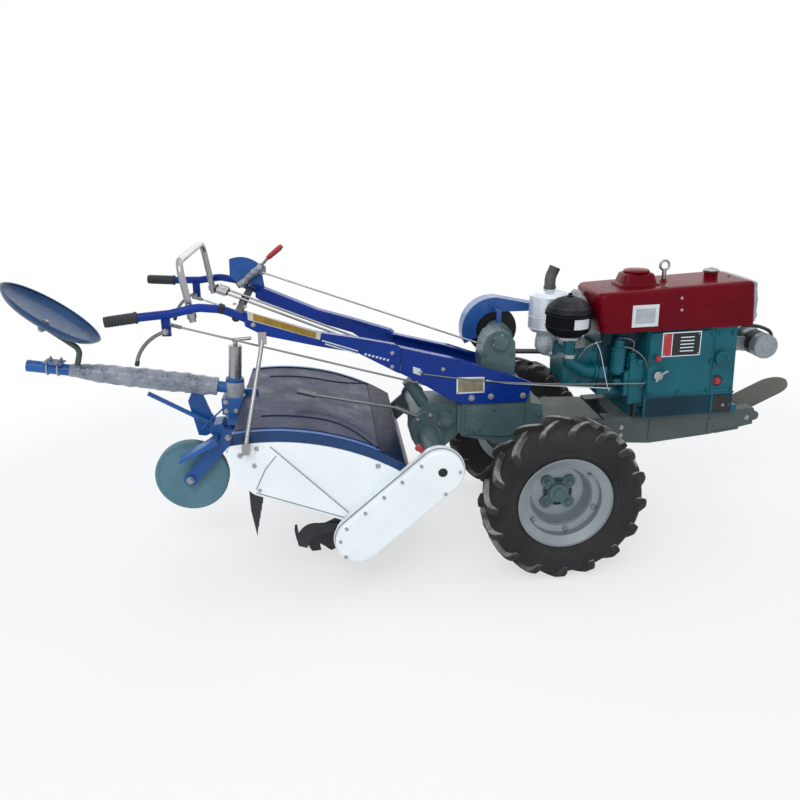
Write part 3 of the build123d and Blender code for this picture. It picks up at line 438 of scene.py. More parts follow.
# ---- the finish of each piece that comes with the frame ----
FINISHES = {
    "tyre rubber": ["tyre_left", "tyre_right"],
    "wheel silver": ["rim_left", "rim_right", "generator"],
    "casting green-grey": ["hub_left", "hub_right", "gearbox", "axle_housings", "clutch_housing",
                           "tiller_gearcase", "tiller_tubes"],
    "frame grey": ["engine_rails", "rail_crossmembers", "bearing_arm", "seat_spring"],
    "stand grey": ["front_stand"],
    "handle blue": ["handlebar_left", "handlebar_right"],
    "guard blue with painted light": ["belt_guard", "clutch_sector"],
    "tail blue": ["column_clamp", "seat_beam", "tail_fork", "foot_pedals", "rear_beam", "column_sleeve"],
    "seat blue": ["seat_pan"],
    "cover blue": ["tiller_cover"],
    "black rubber": ["hand_grips", "drive_belts"],
    "black steel": ["handlebar_crossbar", "flywheel", "clutch_pulley"],
    "bright steel": ["hoop_bar", "control_rods", "lifting_eye", "tail_column", "brace_rod"],
    "dull steel": ["tiller_lever", "clutch_lever", "steering_levers"],
    "white enamel": ["chain_case", "chain_case_cover", "side_plates"],
    "engine teal": ["engine_block", "gear_cover", "cylinder_head", "intake_pipe", "fuel_filter"],
    # painted shade: the sump takes the darkened teal of the engine's shaded underside
    "engine dark and painted shade": ["engine_sump"],
    "hood red": ["engine_hood"],
    "black plastic": ["air_cleaner"],
    "silver paint": ["muffler"],
    "clear film on silver": ["headlamp"],
    "blade black": ["rotor_shaft", "rotor_blades", "rear_rake"],
    "tail wheel teal": ["tail_wheel"],
    "clear film on blue": ["beam_wrap"],
}
for paint, names in FINISHES.items():
    for name in names:
        mesh = frame["nodes"][name].data
        mesh.materials.clear()
        mesh.materials.append(materials[paint])


# ---- building meshes ----
class Shape:
    """A mesh built in millimetres, on the machine's datum unless another place is given."""

    def __init__(self, place=datum):
        self.mesh = bmesh.new()
        self.place = place
        self.coat = 0  # index of the material for what is added next

    def skin(self, rings, closed_path=False):
        """Faces between rings of points; the first and last ring are capped unless the path is closed."""
        rows = [[self.mesh.verts.new(point) for point in ring] for ring in rings]
        count = len(rows[0])
        spans = len(rows) if closed_path else len(rows) - 1
        for i in range(spans):
            a, b = rows[i], rows[(i + 1) % len(rows)]
            for j in range(count):
                k = (j + 1) % count
                self.mesh.faces.new((a[j], a[k], b[k], b[j])).material_index = self.coat
        if not closed_path:
            self.mesh.faces.new(list(reversed(rows[0]))).material_index = self.coat
            self.mesh.faces.new(rows[-1]).material_index = self.coat
        return rows

    def prism(self, outline, y0, y1):
        """Outline in X and Z, from y0 to y1."""
        self.skin([[(x, y, z) for x, z in outline] for y in (y0, y1)])

    def block(self, x0, x1, y0, y1, z0, z1):
        """Box between two limits on each axis."""
        self.prism([(x0, z0), (x1, z0), (x1, z1), (x0, z1)], y0, y1)

    def turned(self, profile, start, along, segments=32, closed=False):
        """A lathe shape: the profile lists radius and distance from start along an axis."""
        start, along = Vector(start), Vector(along).normalized()
        side = along.orthogonal().normalized()
        up = along.cross(side)
        rings = []
        for radius, distance in profile:
            centre = start + along * distance
            rings.append([centre + (side * cos(2 * pi * k / segments) + up * sin(2 * pi * k / segments))
                          * max(radius, 0.01) for k in range(segments)])
        self.skin(rings, closed)

    def rod(self, points, radius, segments=10, radii=None):
        """A round rod, wire or hose along points."""
        points = [Vector(p) for p in points]
        side = None
        rings = []
        for i, point in enumerate(points):
            ahead = points[min(i + 1, len(points) - 1)] - points[max(i - 1, 0)]
            ahead.normalize()
            side = ahead.orthogonal() if side is None else side - ahead * side.dot(ahead)
            side.normalize()
            up = ahead.cross(side)
            size = radii[i] if radii else radius
            rings.append([point + (side * cos(2 * pi * k / segments) + up * sin(2 * pi * k / segments)) * size
                          for k in range(segments)])
        self.skin(rings)

    def done(self, name, slot, coats, *more, **choice):
        """Close the mesh and add it in metres; the rest is passed on to add_piece."""
        bmesh.ops.remove_doubles(self.mesh, verts=self.mesh.verts, dist=0.005)
        self.mesh.transform(self.place)
        bmesh.ops.recalc_face_normals(self.mesh, faces=self.mesh.faces)
        mesh = bpy.data.meshes.new(name)
        self.mesh.to_mesh(mesh)
        self.mesh.free()
        return add_piece(name, mesh, slot, coats, *more, **choice)


def add_piece(name, mesh, slot, coats, replaces=(), body="chassis", bevel=0.0, crease=38.0, smooth=0):
    """Put a mesh in the scene with its finishes and make it ride on its body; its slot is not used."""
    for coat in coats:
        mesh.materials.append(materials[coat])
    mesh.polygons.foreach_set("use_smooth", [True] * len(mesh.polygons))
    mesh.set_sharp_from_angle(angle=radians(crease))
    piece = bpy.data.objects.new(name, mesh)
    scene.collection.objects.link(piece)
    if bevel:
        edge = piece.modifiers.new("bevel", "BEVEL")
        edge.width = bevel * MM
        edge.segments = 2
        edge.limit_method = "ANGLE"
        edge.angle_limit = radians(crease)
        edge.harden_normals = False
    if smooth:
        rounder = piece.modifiers.new("smooth", "SUBSURF")
        rounder.levels = rounder.render_levels = smooth
    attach(piece, body)
    if replaces:
        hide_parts(*replaces)
    return piece


def curve_points(points, steps=6):
    """Points on a smooth curve through a few given ones."""
    points = [Vector(p) for p in points]
    padded = [points[0] * 2 - points[1]] + points + [points[-1] * 2 - points[-2]]
    out = []
    for i in range(1, len(padded) - 2):
        a, b, c, d = padded[i - 1:i + 3]
        for k in range(steps):
            t = k / steps
            out.append(0.5 * (2 * b + (c - a) * t + (2 * a - 5 * b + 4 * c - d) * t * t
                              + (3 * b - a - 3 * c + d) * t ** 3))
    out.append(points[-1])
    return out


def arc_outline(cx, cz, radius, start, end, steps):
    """Points of an arc in X and Z, angles in degrees."""
    return [(cx + radius * cos(radians(start + (end - start) * k / steps)),
             cz + radius * sin(radians(start + (end - start) * k / steps))) for k in range(steps + 1)]


# ---- Geometry Nodes: bolts on points, and a shape repeated round an axis ----
def grow_tree(name, inputs):
    """Geometry Nodes tree with geometry in and out, and named inputs (name, kind, default)."""
    tree = bpy.data.node_groups.new(name, "GeometryNodeTree")
    tree.interface.new_socket("Geometry", in_out="INPUT", socket_type="NodeSocketGeometry")
    for label, kind, value in inputs:
        socket = tree.interface.new_socket(label, in_out="INPUT", socket_type="NodeSocket" + kind)
        if value is not None:
            socket.default_value = value
    tree.interface.new_socket("Geometry", in_out="OUTPUT", socket_type="NodeSocketGeometry")
    return tree, add(tree, "NodeGroupInput").outputs, add(tree, "NodeGroupOutput").inputs


def grown(tree, seed, **values):
    """Plain mesh that a tree makes from a seed mesh."""
    holder = bpy.data.objects.new("seed", seed)
    scene.collection.objects.link(holder)
    step = holder.modifiers.new("grow", "NODES")
    step.node_group = tree
    for item in tree.interface.items_tree:
        if item.item_type == "SOCKET" and item.in_out == "INPUT" and item.name in values:
            step[item.identifier] = values[item.name]
    graph = bpy.context.evaluated_depsgraph_get()
    mesh = bpy.data.meshes.new_from_object(holder.evaluated_get(graph))
    bpy.data.objects.remove(holder)
    mesh.materials.clear()
    return mesh


def close_tree(tree, given, out, geometry):
    """Realize Instances and Set Material at a tree's end."""
    real = add(tree, "GeometryNodeRealizeInstances", {0: geometry}).outputs[0]
    painted = add(tree, "GeometryNodeSetMaterial", {"Geometry": real, "Material": given["Material"]})
    tree.links.new(painted.outputs[0], out["Geometry"])


def make_hex_bolts():
    """A washer, a hexagon head and a low chamfer on each point, along its facing and at its size."""
    tree, given, out = grow_tree("hex bolts", [("Head Height", "Float", 0.7), ("Washer", "Float", 1.3),
                                               ("Stud", "Float", 0.1), ("Material", "Material", None)])
    join = add(tree, "GeometryNodeJoinGeometry")

    def drum(sides, radius, low, height, top=None):
        kind = "GeometryNodeMeshCylinder" if top is None else "GeometryNodeMeshCone"
        values = {"Vertices": sides, "Depth": height}
        values.update({"Radius": radius} if top is None else {"Radius Bottom": radius, "Radius Top": top})
        shape = add(tree, kind, values).outputs["Mesh"]
        shift = add(tree, "ShaderNodeCombineXYZ", {"Z": low}).outputs[0]
        moved = add(tree, "GeometryNodeTransform", {"Geometry": shape, "Translation": shift}).outputs[0]
        tree.links.new(moved, join.inputs[0])

    half = maths(tree, "MULTIPLY", given["Head Height"], 0.5)
    crest = maths(tree, "ADD", given["Head Height"], 0.14)
    drum(14, given["Washer"], 0.08, 0.18)
    drum(6, 1.0, maths(tree, "ADD", half, 0.1), given["Head Height"])
    drum(12, 0.86, crest, 0.14, 0.72)
    drum(8, 0.5, crest, maths(tree, "MULTIPLY", given["Stud"], 2.0))
    facing = add(tree, "GeometryNodeInputNamedAttribute", {"Name": "facing"}, data_type="FLOAT_VECTOR")
    turn = add(tree, "FunctionNodeAlignRotationToVector", {"Vector": facing.outputs[0]}, axis="Z")
    size = add(tree, "GeometryNodeInputNamedAttribute", {"Name": "size"}, data_type="FLOAT")
    heads = add(tree, "GeometryNodeInstanceOnPoints",
                {"Points": given["Geometry"], "Instance": join.outputs[0], "Rotation": turn.outputs[0],
                 "Scale": size.outputs[0]})
    close_tree(tree, given, out, heads.outputs[0])
    return tree


def make_ring_of():
    """The seed mesh repeated round the Y axis."""
    tree, given, out = grow_tree("ring of", [("Count", "Int", 6), ("First Angle", "Float", 0.0),
                                             ("Material", "Material", None)])
    spots = add(tree, "GeometryNodePoints", {"Count": given["Count"]}).outputs[0]
    index = add(tree, "GeometryNodeInputIndex").outputs[0]
    step = maths(tree, "DIVIDE", 2 * pi, given["Count"])
    angle = maths(tree, "ADD", maths(tree, "MULTIPLY", index, step), given["First Angle"])
    angles = add(tree, "ShaderNodeCombineXYZ", {"Y": angle}).outputs[0]
    turn = add(tree, "FunctionNodeEulerToRotation", {0: angles}).outputs[0]
    ring = add(tree, "GeometryNodeInstanceOnPoints",
               {"Points": spots, "Instance": given["Geometry"], "Rotation": turn})
    close_tree(tree, given, out, ring.outputs[0])
    return tree


HEX_BOLTS, RING_OF = make_hex_bolts(), make_ring_of()
bolt_points = {}


def bolt(x, y, z, facing=TO_NEAR, size=9.0, body="chassis", coat="zinc steel", place=datum):
    """Note a bolt's place, the way its head faces and half its width, in millimetres."""
    spot = (place @ Vector((x, y, z)), (place.to_3x3() @ Vector(facing)).normalized(), size * MM)
    bolt_points.setdefault((body, coat), []).append(spot)


def bolts(spots, y, facing=TO_NEAR, size=9.0, **choice):
    """Bolts at places in X and Z, all as far out in Y."""
    for x, z in spots:
        bolt(x, y, z, facing, size, **choice)


def bolt_ring(count, first, radius, centre, **choice):
    """Bolts evenly round a centre in X and Z; the first one's angle is in degrees."""
    for k in range(count):
        angle = radians(first + 360 / count * k)
        bolt(centre[0] + radius * cos(angle), centre[1], centre[2] + radius * sin(angle), **choice)


def make_bolts():
    """One piece for each body and finish that the noted bolts use."""
    for (body, coat), spots in bolt_points.items():
        seed = bpy.data.meshes.new("bolt points")
        seed.from_pydata([spot[0] for spot in spots], [], [])
        facing = seed.attributes.new("facing", "FLOAT_VECTOR", "POINT")
        facing.data.foreach_set("vector", [c for spot in spots for c in spot[1]])
        size = seed.attributes.new("size", "FLOAT", "POINT")
        size.data.foreach_set("value", [spot[2] for spot in spots])
        mesh = grown(HEX_BOLTS, seed, **{"Material": materials[coat]})
        name = "bolts_" + body + "_" + coat.replace(" ", "_")
        add_piece(name, mesh, "bright_steel", [coat], body=body)


# ---- wheels: tyre carcass, tread lugs, bolts, hub slots in painted shade, and valve ----
# half of the tyre's section, from the bead out to the crown: radius and Y
CARCASS = [(156, -36), (156, 36), (184, 56), (190, 58.6), (197, 62.6), (199, 65.2), (204, 66.6),
           (207, 66.0), (216, 71.0), (218, 73.0), (222, 73.6), (232, 77.8), (246, 80.0), (262, 79.8),
           (276, 77.0), (288, 71.0), (295, 62.0), (298, 48.0), (299, 24.0), (299.5, 0)]
# sections of a lug from the tread's middle outwards: radius, Y, turn in degrees, its foot's radius and width
LUG_PATH = [(320, 2, 13.5, 292, 21), (320, 24, 9.0, 292, 22), (319.4, 46, 4.6, 291, 23),
            (316, 66, 0.8, 288, 25), (307, 78, -1.6, 280, 27), (293, 82.6, -2.8, 272, 27),
            (279, 83.0, -3.4, 262, 24), (266, 81.6, -3.8, 256, 18)]
LUG_COUNT = 16
RIM_FACE = 404.5  # Y of the faces that the wheel's bolts sit on
HUB_FACE = 359.0


def lug(sign):
    """One tread lug, from the middle of the tread over the shoulder and down the wall."""
    shape = Shape()
    rings = []
    for radius, y, turn, foot, width in LUG_PATH:
        ring = []
        wide, narrow = width * 0.72, width * 0.5
        for r, half in ((foot, wide), (radius, narrow), (radius, -narrow), (foot, -wide)):
            depth = y if r == radius else y - max(0.0, (y - 40) * 0.32)
            angle = radians(turn) + half / r
            ring.append((r * sin(angle), sign * depth, r * cos(angle)))
        rings.append(ring)
    shape.skin(rings)
    bmesh.ops.recalc_face_normals(shape.mesh, faces=shape.mesh.faces)
    mesh = bpy.data.meshes.new("lug")
    shape.mesh.to_mesh(mesh)
    shape.mesh.free()
    return mesh


def tyre(side, sign):
    """Carcass and two rows of lugs, half a pitch apart."""
    wheel = datum @ Matrix.Translation((0, sign * TRACK_HALF, TYRE_RADIUS))
    body = "wheel_" + side
    carcass = Shape(wheel)
    mirrored = [(r, -y) for r, y in reversed(CARCASS[2:-1])]
    carcass.turned(CARCASS + mirrored, (0, 0, 0), (0, 1, 0), 96, closed=True)
    carcass.done("tyre_carcass_" + side, "tyre_rubber", ["tyre rubber"], ["tyre_" + side], body, crease=30)
    for edge, flip, offset in (("outer", sign, 0.0), ("inner", -sign, pi / LUG_COUNT)):
        choice = {"Count": LUG_COUNT, "First Angle": offset + 0.02, "Material": materials["lug face"]}
        mesh = grown(RING_OF, lug(flip), **choice)
        mesh.transform(wheel)
        add_piece("tread_lugs_" + edge + "_" + side, mesh, "tyre_rubber", ["lug face"], (), body,
                  bevel=2.2, crease=24)


def wheel_fittings(side, sign):
    """Rim and hub bolts, dark plates of painted shade for the slots round the hub, and the valve."""
    body = "wheel_" + side
    outward = (0, sign, 0)
    bolt_ring(6, 40.5, 138, (0, sign * RIM_FACE, TYRE_RADIUS), facing=outward, size=8.5, body=body,
              coat="wheel silver")
    bolt_ring(4, 45, 62, (0, sign * HUB_FACE, TYRE_RADIUS), facing=outward, size=10.5, body=body,
              coat="casting green-grey")
    hub_face = datum @ Matrix.Translation((0, sign * (HUB_FACE - 0.4), TYRE_RADIUS))
    # painted shade: thin black plates on the hub's face stand for its dark slots
    for k in range(4):
        slot = Shape(hub_face @ Matrix.Rotation(radians(90 * k), 4, "Y"))
        slot.prism([(-16, 48), (-12, 44), (12, 44), (16, 48), (13, 55), (-13, 55)], -0.8, 0.8)
        slot.done("hub_slot_shade_" + side + "_" + str(k), "black_plastic", ["black steel"], body=body)
    valve = Shape()
    valve.rod([(-60, sign * 396, 172), (-62, sign * 414, 170), (-63, sign * 428, 171)], 5, 8)
    valve.done("valve_" + side, "rubber_black", ["black rubber"], body=body)


for side, sign in (("left", 1), ("right", -1)):
    tyre(side, sign)
    wheel_fittings(side, sign)


# ---- helpers for plates, stripes, turned pieces and film ----
def stripe(shape, a, b, width, y0, y1):
    """A straight band between two points in X and Z."""
    along = Vector((b[0] - a[0], b[1] - a[1])).normalized() * width / 2
    dx, dz = -along.y, along.x
    outline = [(a[0] - dx, a[1] - dz), (b[0] - dx, b[1] - dz), (b[0] + dx, b[1] + dz), (a[0] + dx, a[1] + dz)]
    shape.prism(outline, y0, y1)


def slot_ring(a, b, radius):
    """Points round a slot's outline about two centres, in X and Z."""
    turn = degrees(atan2(b[1] - a[1], b[0] - a[0]))
    return arc_outline(*b, radius, turn - 90, turn + 90,
                       14) + arc_outline(*a, radius, turn + 90, turn + 270, 14)


def crumple(shape, amount, scale, seed):
    """Push every point out or in along its normal by smooth noise."""
    shape.mesh.normal_update()
    moves = []
    for vert in shape.mesh.verts:
        spot = vert.co * scale + Vector((seed, seed * 1.7, seed * 2.3))
        folds = noise.noise(spot) + 0.5 * abs(noise.noise(spot * 2.7)) - 0.12
        moves.append(vert.normal * folds * amount)
    for vert, move in zip(shape.mesh.verts, moves):
        vert.co += move


def lathe(name, slot, coat, profile, start, along, place=datum, segments=28, bevel=0.6):
    """A turned piece: its profile lists radius and distance from start along an axis."""
    shape = Shape(place)
    shape.turned(profile, start, along, segments)
    return shape.done(name, slot, [coat], bevel=bevel)


def wire(name, points, radius, coat, body="chassis", slot="bright_steel", place=datum, steps=8, segments=8):
    """A round wire, pipe or bar on a smooth curve through the points."""
    shape = Shape(place)
    shape.rod(curve_points(points, steps) if steps > 1 else points, radius, segments)
    return shape.done(name, slot, [coat], body=body)


# ---- handlebars: plates, stripes, bolts ----
SPLAY = 14.4  # degrees that an arm leans outwards
SPLAY_FROM = (-620, 122)  # X and Y where an arm turns outwards
PLATE_FACE = -126.0  # outer face of the near side plate


def arm_place(side):
    """An arm's own place: it lies in X and Z, splayed about its joint with the side plate."""
    joint = Matrix.Translation((SPLAY_FROM[0], side * SPLAY_FROM[1], 0))
    return (datum @ joint @ Matrix.Rotation(radians(-side * SPLAY), 4, "Z")
            @ Matrix.Translation((-SPLAY_FROM[0], 0, 0)))


near_arm, far_arm = arm_place(-1), arm_place(1)
strip = Shape(near_arm)
strip.prism([(-1186, 1041), (-920, 940), (-925, 914), (-1185, 1009)], -19.0, -18.0)
strip.coat = 1
strip.prism([(-1166, 1030), (-938, 943.5), (-941, 921.5), (-1166, 1006)], -19.5, -19.0)
strip.done("yellow_strip", "handle_blue", ["decal cream", "decal yellow"])
lines = Shape(near_arm)
for a, b in (((-917, 911), (-778, 858)), ((-906, 897), (-778, 847))):
    stripe(lines, a, b, 4.5, -18.8, -18.0)
for k in range(7):
    x = -752 + 15 * k
    stripe(lines, (x, 844 - 5.2 * k), (x + 9, 841 - 5.2 * k), 8, -18.7, -18.0)
lines.done("arm_stripes", "handle_blue", ["decal white"])
lines = Shape()
for drop in (0, 12):
    stripe(lines, (-641, 793 - drop), (-598, 777 - drop), 4.5, PLATE_FACE - 0.8, PLATE_FACE)
lines.prism([(-550, 776), (-520, 765), (-520, 738), (-550, 749)], PLATE_FACE - 1.2, PLATE_FACE)
lines.done("plate_stripes", "handle_blue", ["decal white"])
plate = Shape()
plate.prism([(-375, 727), (-262, 726), (-259, 660), (-373, 657)], PLATE_FACE - 1.2, PLATE_FACE)
plate.coat = 1
name_field = [(-369, 721), (-268, 720), (-265, 666), (-367, 663)]
plate.prism(name_field, PLATE_FACE - 1.8, PLATE_FACE - 1.2)
plate.done("front_name_plate", "bright_steel", ["silver paint", "bronze plate"])
bolts(name_field, PLATE_FACE - 1.8, size=2.6)
for side in (-1, 1):
    outward = (0, side, 0)
    bolts(((-311, 638), (-232, 643), (-100, 643)), side * 126.5, outward, 10)
    bolts(((-520, 752), (-430, 762)), side * 126.5, outward, 6)
for arm, side in ((near_arm, -1), (far_arm, 1)):
    bolts(((-640, 838), (-640, 782), (-1168, 990)), side * 18, (0, side, 0), 6.5, place=arm)
    bolts(((-1190, 1052), (-1226, 1064)), side * 4, UP, 6, place=arm)

# grips: collars and ribs
for name, start, end in (("near", (-1522, -363, 1042), (-1629, -378, 1030)),
                         ("far", (-1530, 364.6, 1041.2), (-1645, 378, 1044))):
    line = Vector(end) - Vector(start)
    length = line.length
    profile = [(16, 1), (20.6, 2), (20.6, 10), (18.4, 11)]
    for k in range(9):
        at = 20 + (length - 34) * k / 8
        profile += [(18.3, at - 3), (19.4, at - 2), (19.4, at + 2), (18.3, at + 3)]
    profile += [(18.4, length - 6), (16.5, length - 0.6), (12, length - 0.2)]
    lathe("grip_ribs_" + name, "rubber_black", "black rubber", profile, start, line, bevel=0.0)

# clamps on the arm tubes, the crank's boss and the hoop
for name, side in SIDES:
    lathe("tube_collar_" + name, "bright_steel", "black steel",
          [(17, 0), (18.4, 1), (18.4, 17), (17, 18)], (-1245, side * 286, 1049), (-95, side * 27, 44))
    lathe("hoop_clamp_" + name, "bright_steel", "bright steel",
          [(14, 0), (17, 1.5), (17, 20), (14, 21.5)], (-1358, side * 268, 1014), (-0.16, 0, 1))
    bolt(-1438, side * 354.5, 988, (0, side, 0), 8)
    bolt(-1363, side * 297, 1066, UP, 6)
    bolt(-1205, side * 262, 1032, UP, 7)

# throttle rod and the light wires along the plate and the engine
wire("throttle_rod", [(-511, -130, 745), (-260, -131, 710), (43, -150, 696), (384, -184, 701)],
     3.0, "dull steel")
wire("stop_wire", [(-256, -130, 713), (-173, -131, 699), (-74, -135, 692), (51, -150, 687), (244, -180, 682)],
     2.2, "decal white")
wire("fuel_wire", [(158, -195, 880), (178, -197, 843), (202, -196, 765), (221, -195, 702), (232, -193, 676)],
     1.5, "decal white")

# ---- gearbox: cover bolts and filler plug ----
bolts(((-2, 503), (49, 501)), -118.5, size=7, coat="casting green-grey")
bolts(((-332, 569), (-212, 590), (-332, 486), (-110, 486), (-30, 560)), -127,
      size=7, coat="casting green-grey")
lathe("gearbox_plug", "casting_green_grey", "casting green-grey",
      [(0, 0), (9, 0), (9, 9), (13, 9.5), (13, 16), (0, 16)], (-200, -60, 664), UP)
bolt_ring(6, 20, 23, (-411, -119, 543), size=4.5, coat="casting green-grey")
bolt_ring(6, 20, 54, (-484, -98.5, 505), size=6.5)
bolt_ring(6, 20, 27, (-190, -71, 852), size=4.5)
bolts(((-250, 700), (-140, 700), (-250, 800), (-138, 800)), -60.5, size=7, coat="casting green-grey")

# ---- rails: ribs, bolts and brackets ----
rails = Shape()
for x, low in ((444, 442), (699, 466)):
    for y0, y1 in ((-154, -149), (149, 154)):
        rails.block(x - 7, x + 7, y0, y1, low, 528)
rails.prism([(728, 470), (830, 486), (830, 478), (728, 462)], -155, -149)
rails.done("rail_ribs", "frame_grey", ["frame grey"], bevel=1.5)
for side in (-1, 1):
    bolts(((110, 505), (180, 500), (318, 500), (318, 465), (860, 528), (80, 530)), side * 150.5,
          (0, side, 0), 8)
    bolts(((-60, 30), (250, 30)), side * 130, UP, 9, place=bed)

# ---- engine: cover bolts, blank plates, knob, lever, caps ----
GEAR_FACE = -190.5  # outer face of the gear cover
BLOCK_FACE = -174.0  # near face of the crankcase
on_engine = {"coat": "engine teal", "place": bed}
bolts(((-76, 110), (46, 108), (168, 110), (170, 232), (168, 346), (-78, 232), (-78, 346)), GEAR_FACE - 1,
      size=6.5, **on_engine)
rim = Shape(bed)
outline = [(-83, 102), (-83, 353), (175, 353), (175, 102)]
for a, b in zip(outline, outline[1:] + outline[:1]):
    stripe(rim, a, b, 6, GEAR_FACE - 2.5, GEAR_FACE)
rim.done("gear_cover_rim", "engine_teal", ["engine teal"], bevel=1.0)
plate = Shape(bed)
PLATE_BACK, PLATE_TOP = GEAR_FACE - 3.7, GEAR_FACE - 4.5
plate.block(-37, 121, PLATE_BACK, GEAR_FACE, 261, 360)
plate.coat = 1
plate.block(-33, 0, PLATE_TOP, PLATE_BACK, 265, 356)
plate.coat = 2
plate.block(4, 117, PLATE_TOP, PLATE_BACK, 265, 356)
plate.coat = 0
for k in range(5):
    plate.block(36, 92, PLATE_TOP - 0.6, PLATE_TOP, 280 + 14 * k, 284 + 14 * k)
plate.done("engine_name_plate", "bright_steel", ["silver paint", "warning red", "black steel"])
bolts(((-27, 271), (-27, 350), (111, 350), (111, 271)), PLATE_TOP, size=2.6, place=bed)
lever = Shape(bed)
lever.turned([(0, 0), (17, 0), (19, 3), (19, 12), (13, 15), (0, 15)], (-46, -191, 186), TO_NEAR, 24)
lever.rod([(-46, -204, 186), (-28, -212, 200), (-14, -216, 210)], 5, 10)
lever.rod([(-46, -204, 186), (-56, -206, 164)], 6, 10)
lever.done("speed_lever", "bright_steel", ["bright steel"], bevel=0.8)
for name, slot, coat, profile, start in (
        ("stop_knob", "hood_red", "warning red",
         [(4, 0), (4, 8), (9, 10), (12.5, 16), (12.5, 22), (8, 28), (0, 29)], (-56, -191, 260)),
        ("oil_cap", "hood_red", "warning red",
         [(0, -1), (15, -1), (15, 3), (12, 4), (12, 12), (9, 15), (0, 15)], (214, -175, 142)),
        ("oil_cap_seat", "engine_teal", "engine dark and painted shade",
         [(0, -1), (24, -1), (24, 3), (0, 3)], (214, -175, 142)),
        ("port_rim", "engine_teal", "engine teal",
         [(16, 0), (27, 0), (30, 3), (30, 8), (25, 10), (17, 10), (15.4, 6)], (222, -183.6, 240))):
    lathe(name, slot, coat, profile, start, TO_NEAR, bed)
bolts(((-180, 105), (-180, 350), (-110, 105), (-110, 350), (-150, 105), (-150, 350)), -111,
      size=7, **on_engine)
bolts(((-390, 150), (-390, 272), (-276, 140), (-276, 284), (-332, 145), (-332, 284)), -101,
      size=8, **on_engine)
bolts(((276, 36), (276, 100), (262, 340), (205, 340)), BLOCK_FACE - 2, size=7, **on_engine)

# raised casting lines and feet on the crankcase, and dark sheets of painted shade over its lower part
cast = Shape(bed)
cast.block(-90, 292, BLOCK_FACE - 5, BLOCK_FACE, 84, 94)
cast.block(188, 196, BLOCK_FACE - 6, BLOCK_FACE, 94, 358)
for x0, x1, height, z0, z1 in ((196, 286, 4, 94, 108), (-90, -82, 7, 0, 84), (196, 204, 7, 0, 84)):
    cast.prism([(x0, z0), (x0, z1), (x1, z1), (x1, z0)], BLOCK_FACE - height, BLOCK_FACE)
# painted shade: dark teal sheets over the crankcase below the casting line, where shadow falls
cast.coat = 1
for x0, x1 in ((-82, 196), (204, 290)):
    cast.block(x0, x1, BLOCK_FACE - 2.6, BLOCK_FACE, 2, 84)
cast.done("crankcase_ribs", "engine_teal", ["engine teal", "engine dark and painted shade"], bevel=1.2)
foot = Shape(bed)
foot.prism([(-130, 4), (-130, 62), (-92, 62), (-92, 54), (-120, 54), (-120, 12), (-92, 12), (-92, 4)],
           -178, -150)
foot.prism([(198, 8), (190, 44), (206, 74), (240, 84), (272, 70), (282, 40), (276, 8)], -179.5, -175)
foot.done("engine_foot_brackets", "engine_teal", ["black steel"], bevel=2.0)
bolt(248, -181, 36, (0, -0.4, 1), 7, place=bed)

# pump, its pipes, the generator's strap and the fuel filter's ribs
pump = Shape(bed)
pump.prism([(-170, 96), (-170, 196), (-100, 214), (-92, 96)], -160, -108)
pump.turned([(22, 0), (26, 4), (26, 40), (20, 46), (20, 62), (12, 66)], (-130, -132, 208), UP, 20)
pump.turned([(10, 0), (14, 3), (14, 22), (7, 26)], (-110, -150, 236), TO_NEAR, 16)
pump.turned([(12, 0), (16, 3), (16, 30), (9, 34)], (-172, -130, 150), (-1, 0, 0), 16)
pump.done("injection_pump", "engine_teal", ["engine teal"], bevel=2.0)
for name, radius, coat, slot, points in (
        ("injection_pipe", 4, "dull steel", "bright_steel",
         [(-130, -132, 272), (-132, -134, 318), (-190, -120, 330), (-300, -104, 300), (-352, -102, 240)]),
        ("fuel_pipe", 4, "engine dark and painted shade", "rubber_black",
         [(-176, -130, 152), (-214, -140, 160), (-222, -152, 196), (-208, -152, 226)]),
        ("return_pipe", 3.2, "dull steel", "bright_steel",
         [(-206, -150, 300), (-150, -158, 296), (-96, -176, 250), (-84, -182, 180), (-100, -168, 130)]),
        ("generator_strap", 7, "black rubber", "rubber_black",
         [(330, -120, 352), (392, -122, 346), (446, -124, 322), (462, -124, 286)])):
    wire(name, points, radius, coat, slot=slot, place=bed)
filter_body = Shape()
for low in (752, 768, 784, 800, 816, 832):
    filter_body.turned([(27, 0), (29.4, 1.6), (29.4, 4.4), (27, 6)], (273, -150, low), UP, 28)
filter_body.turned([(0, 0), (9, 0), (9, 8), (12, 9), (12, 16), (0, 16)], (273, -150, 872), UP, 12)
filter_body.done("fuel_filter_ribs", "engine_teal", ["engine teal"], bevel=0.6)

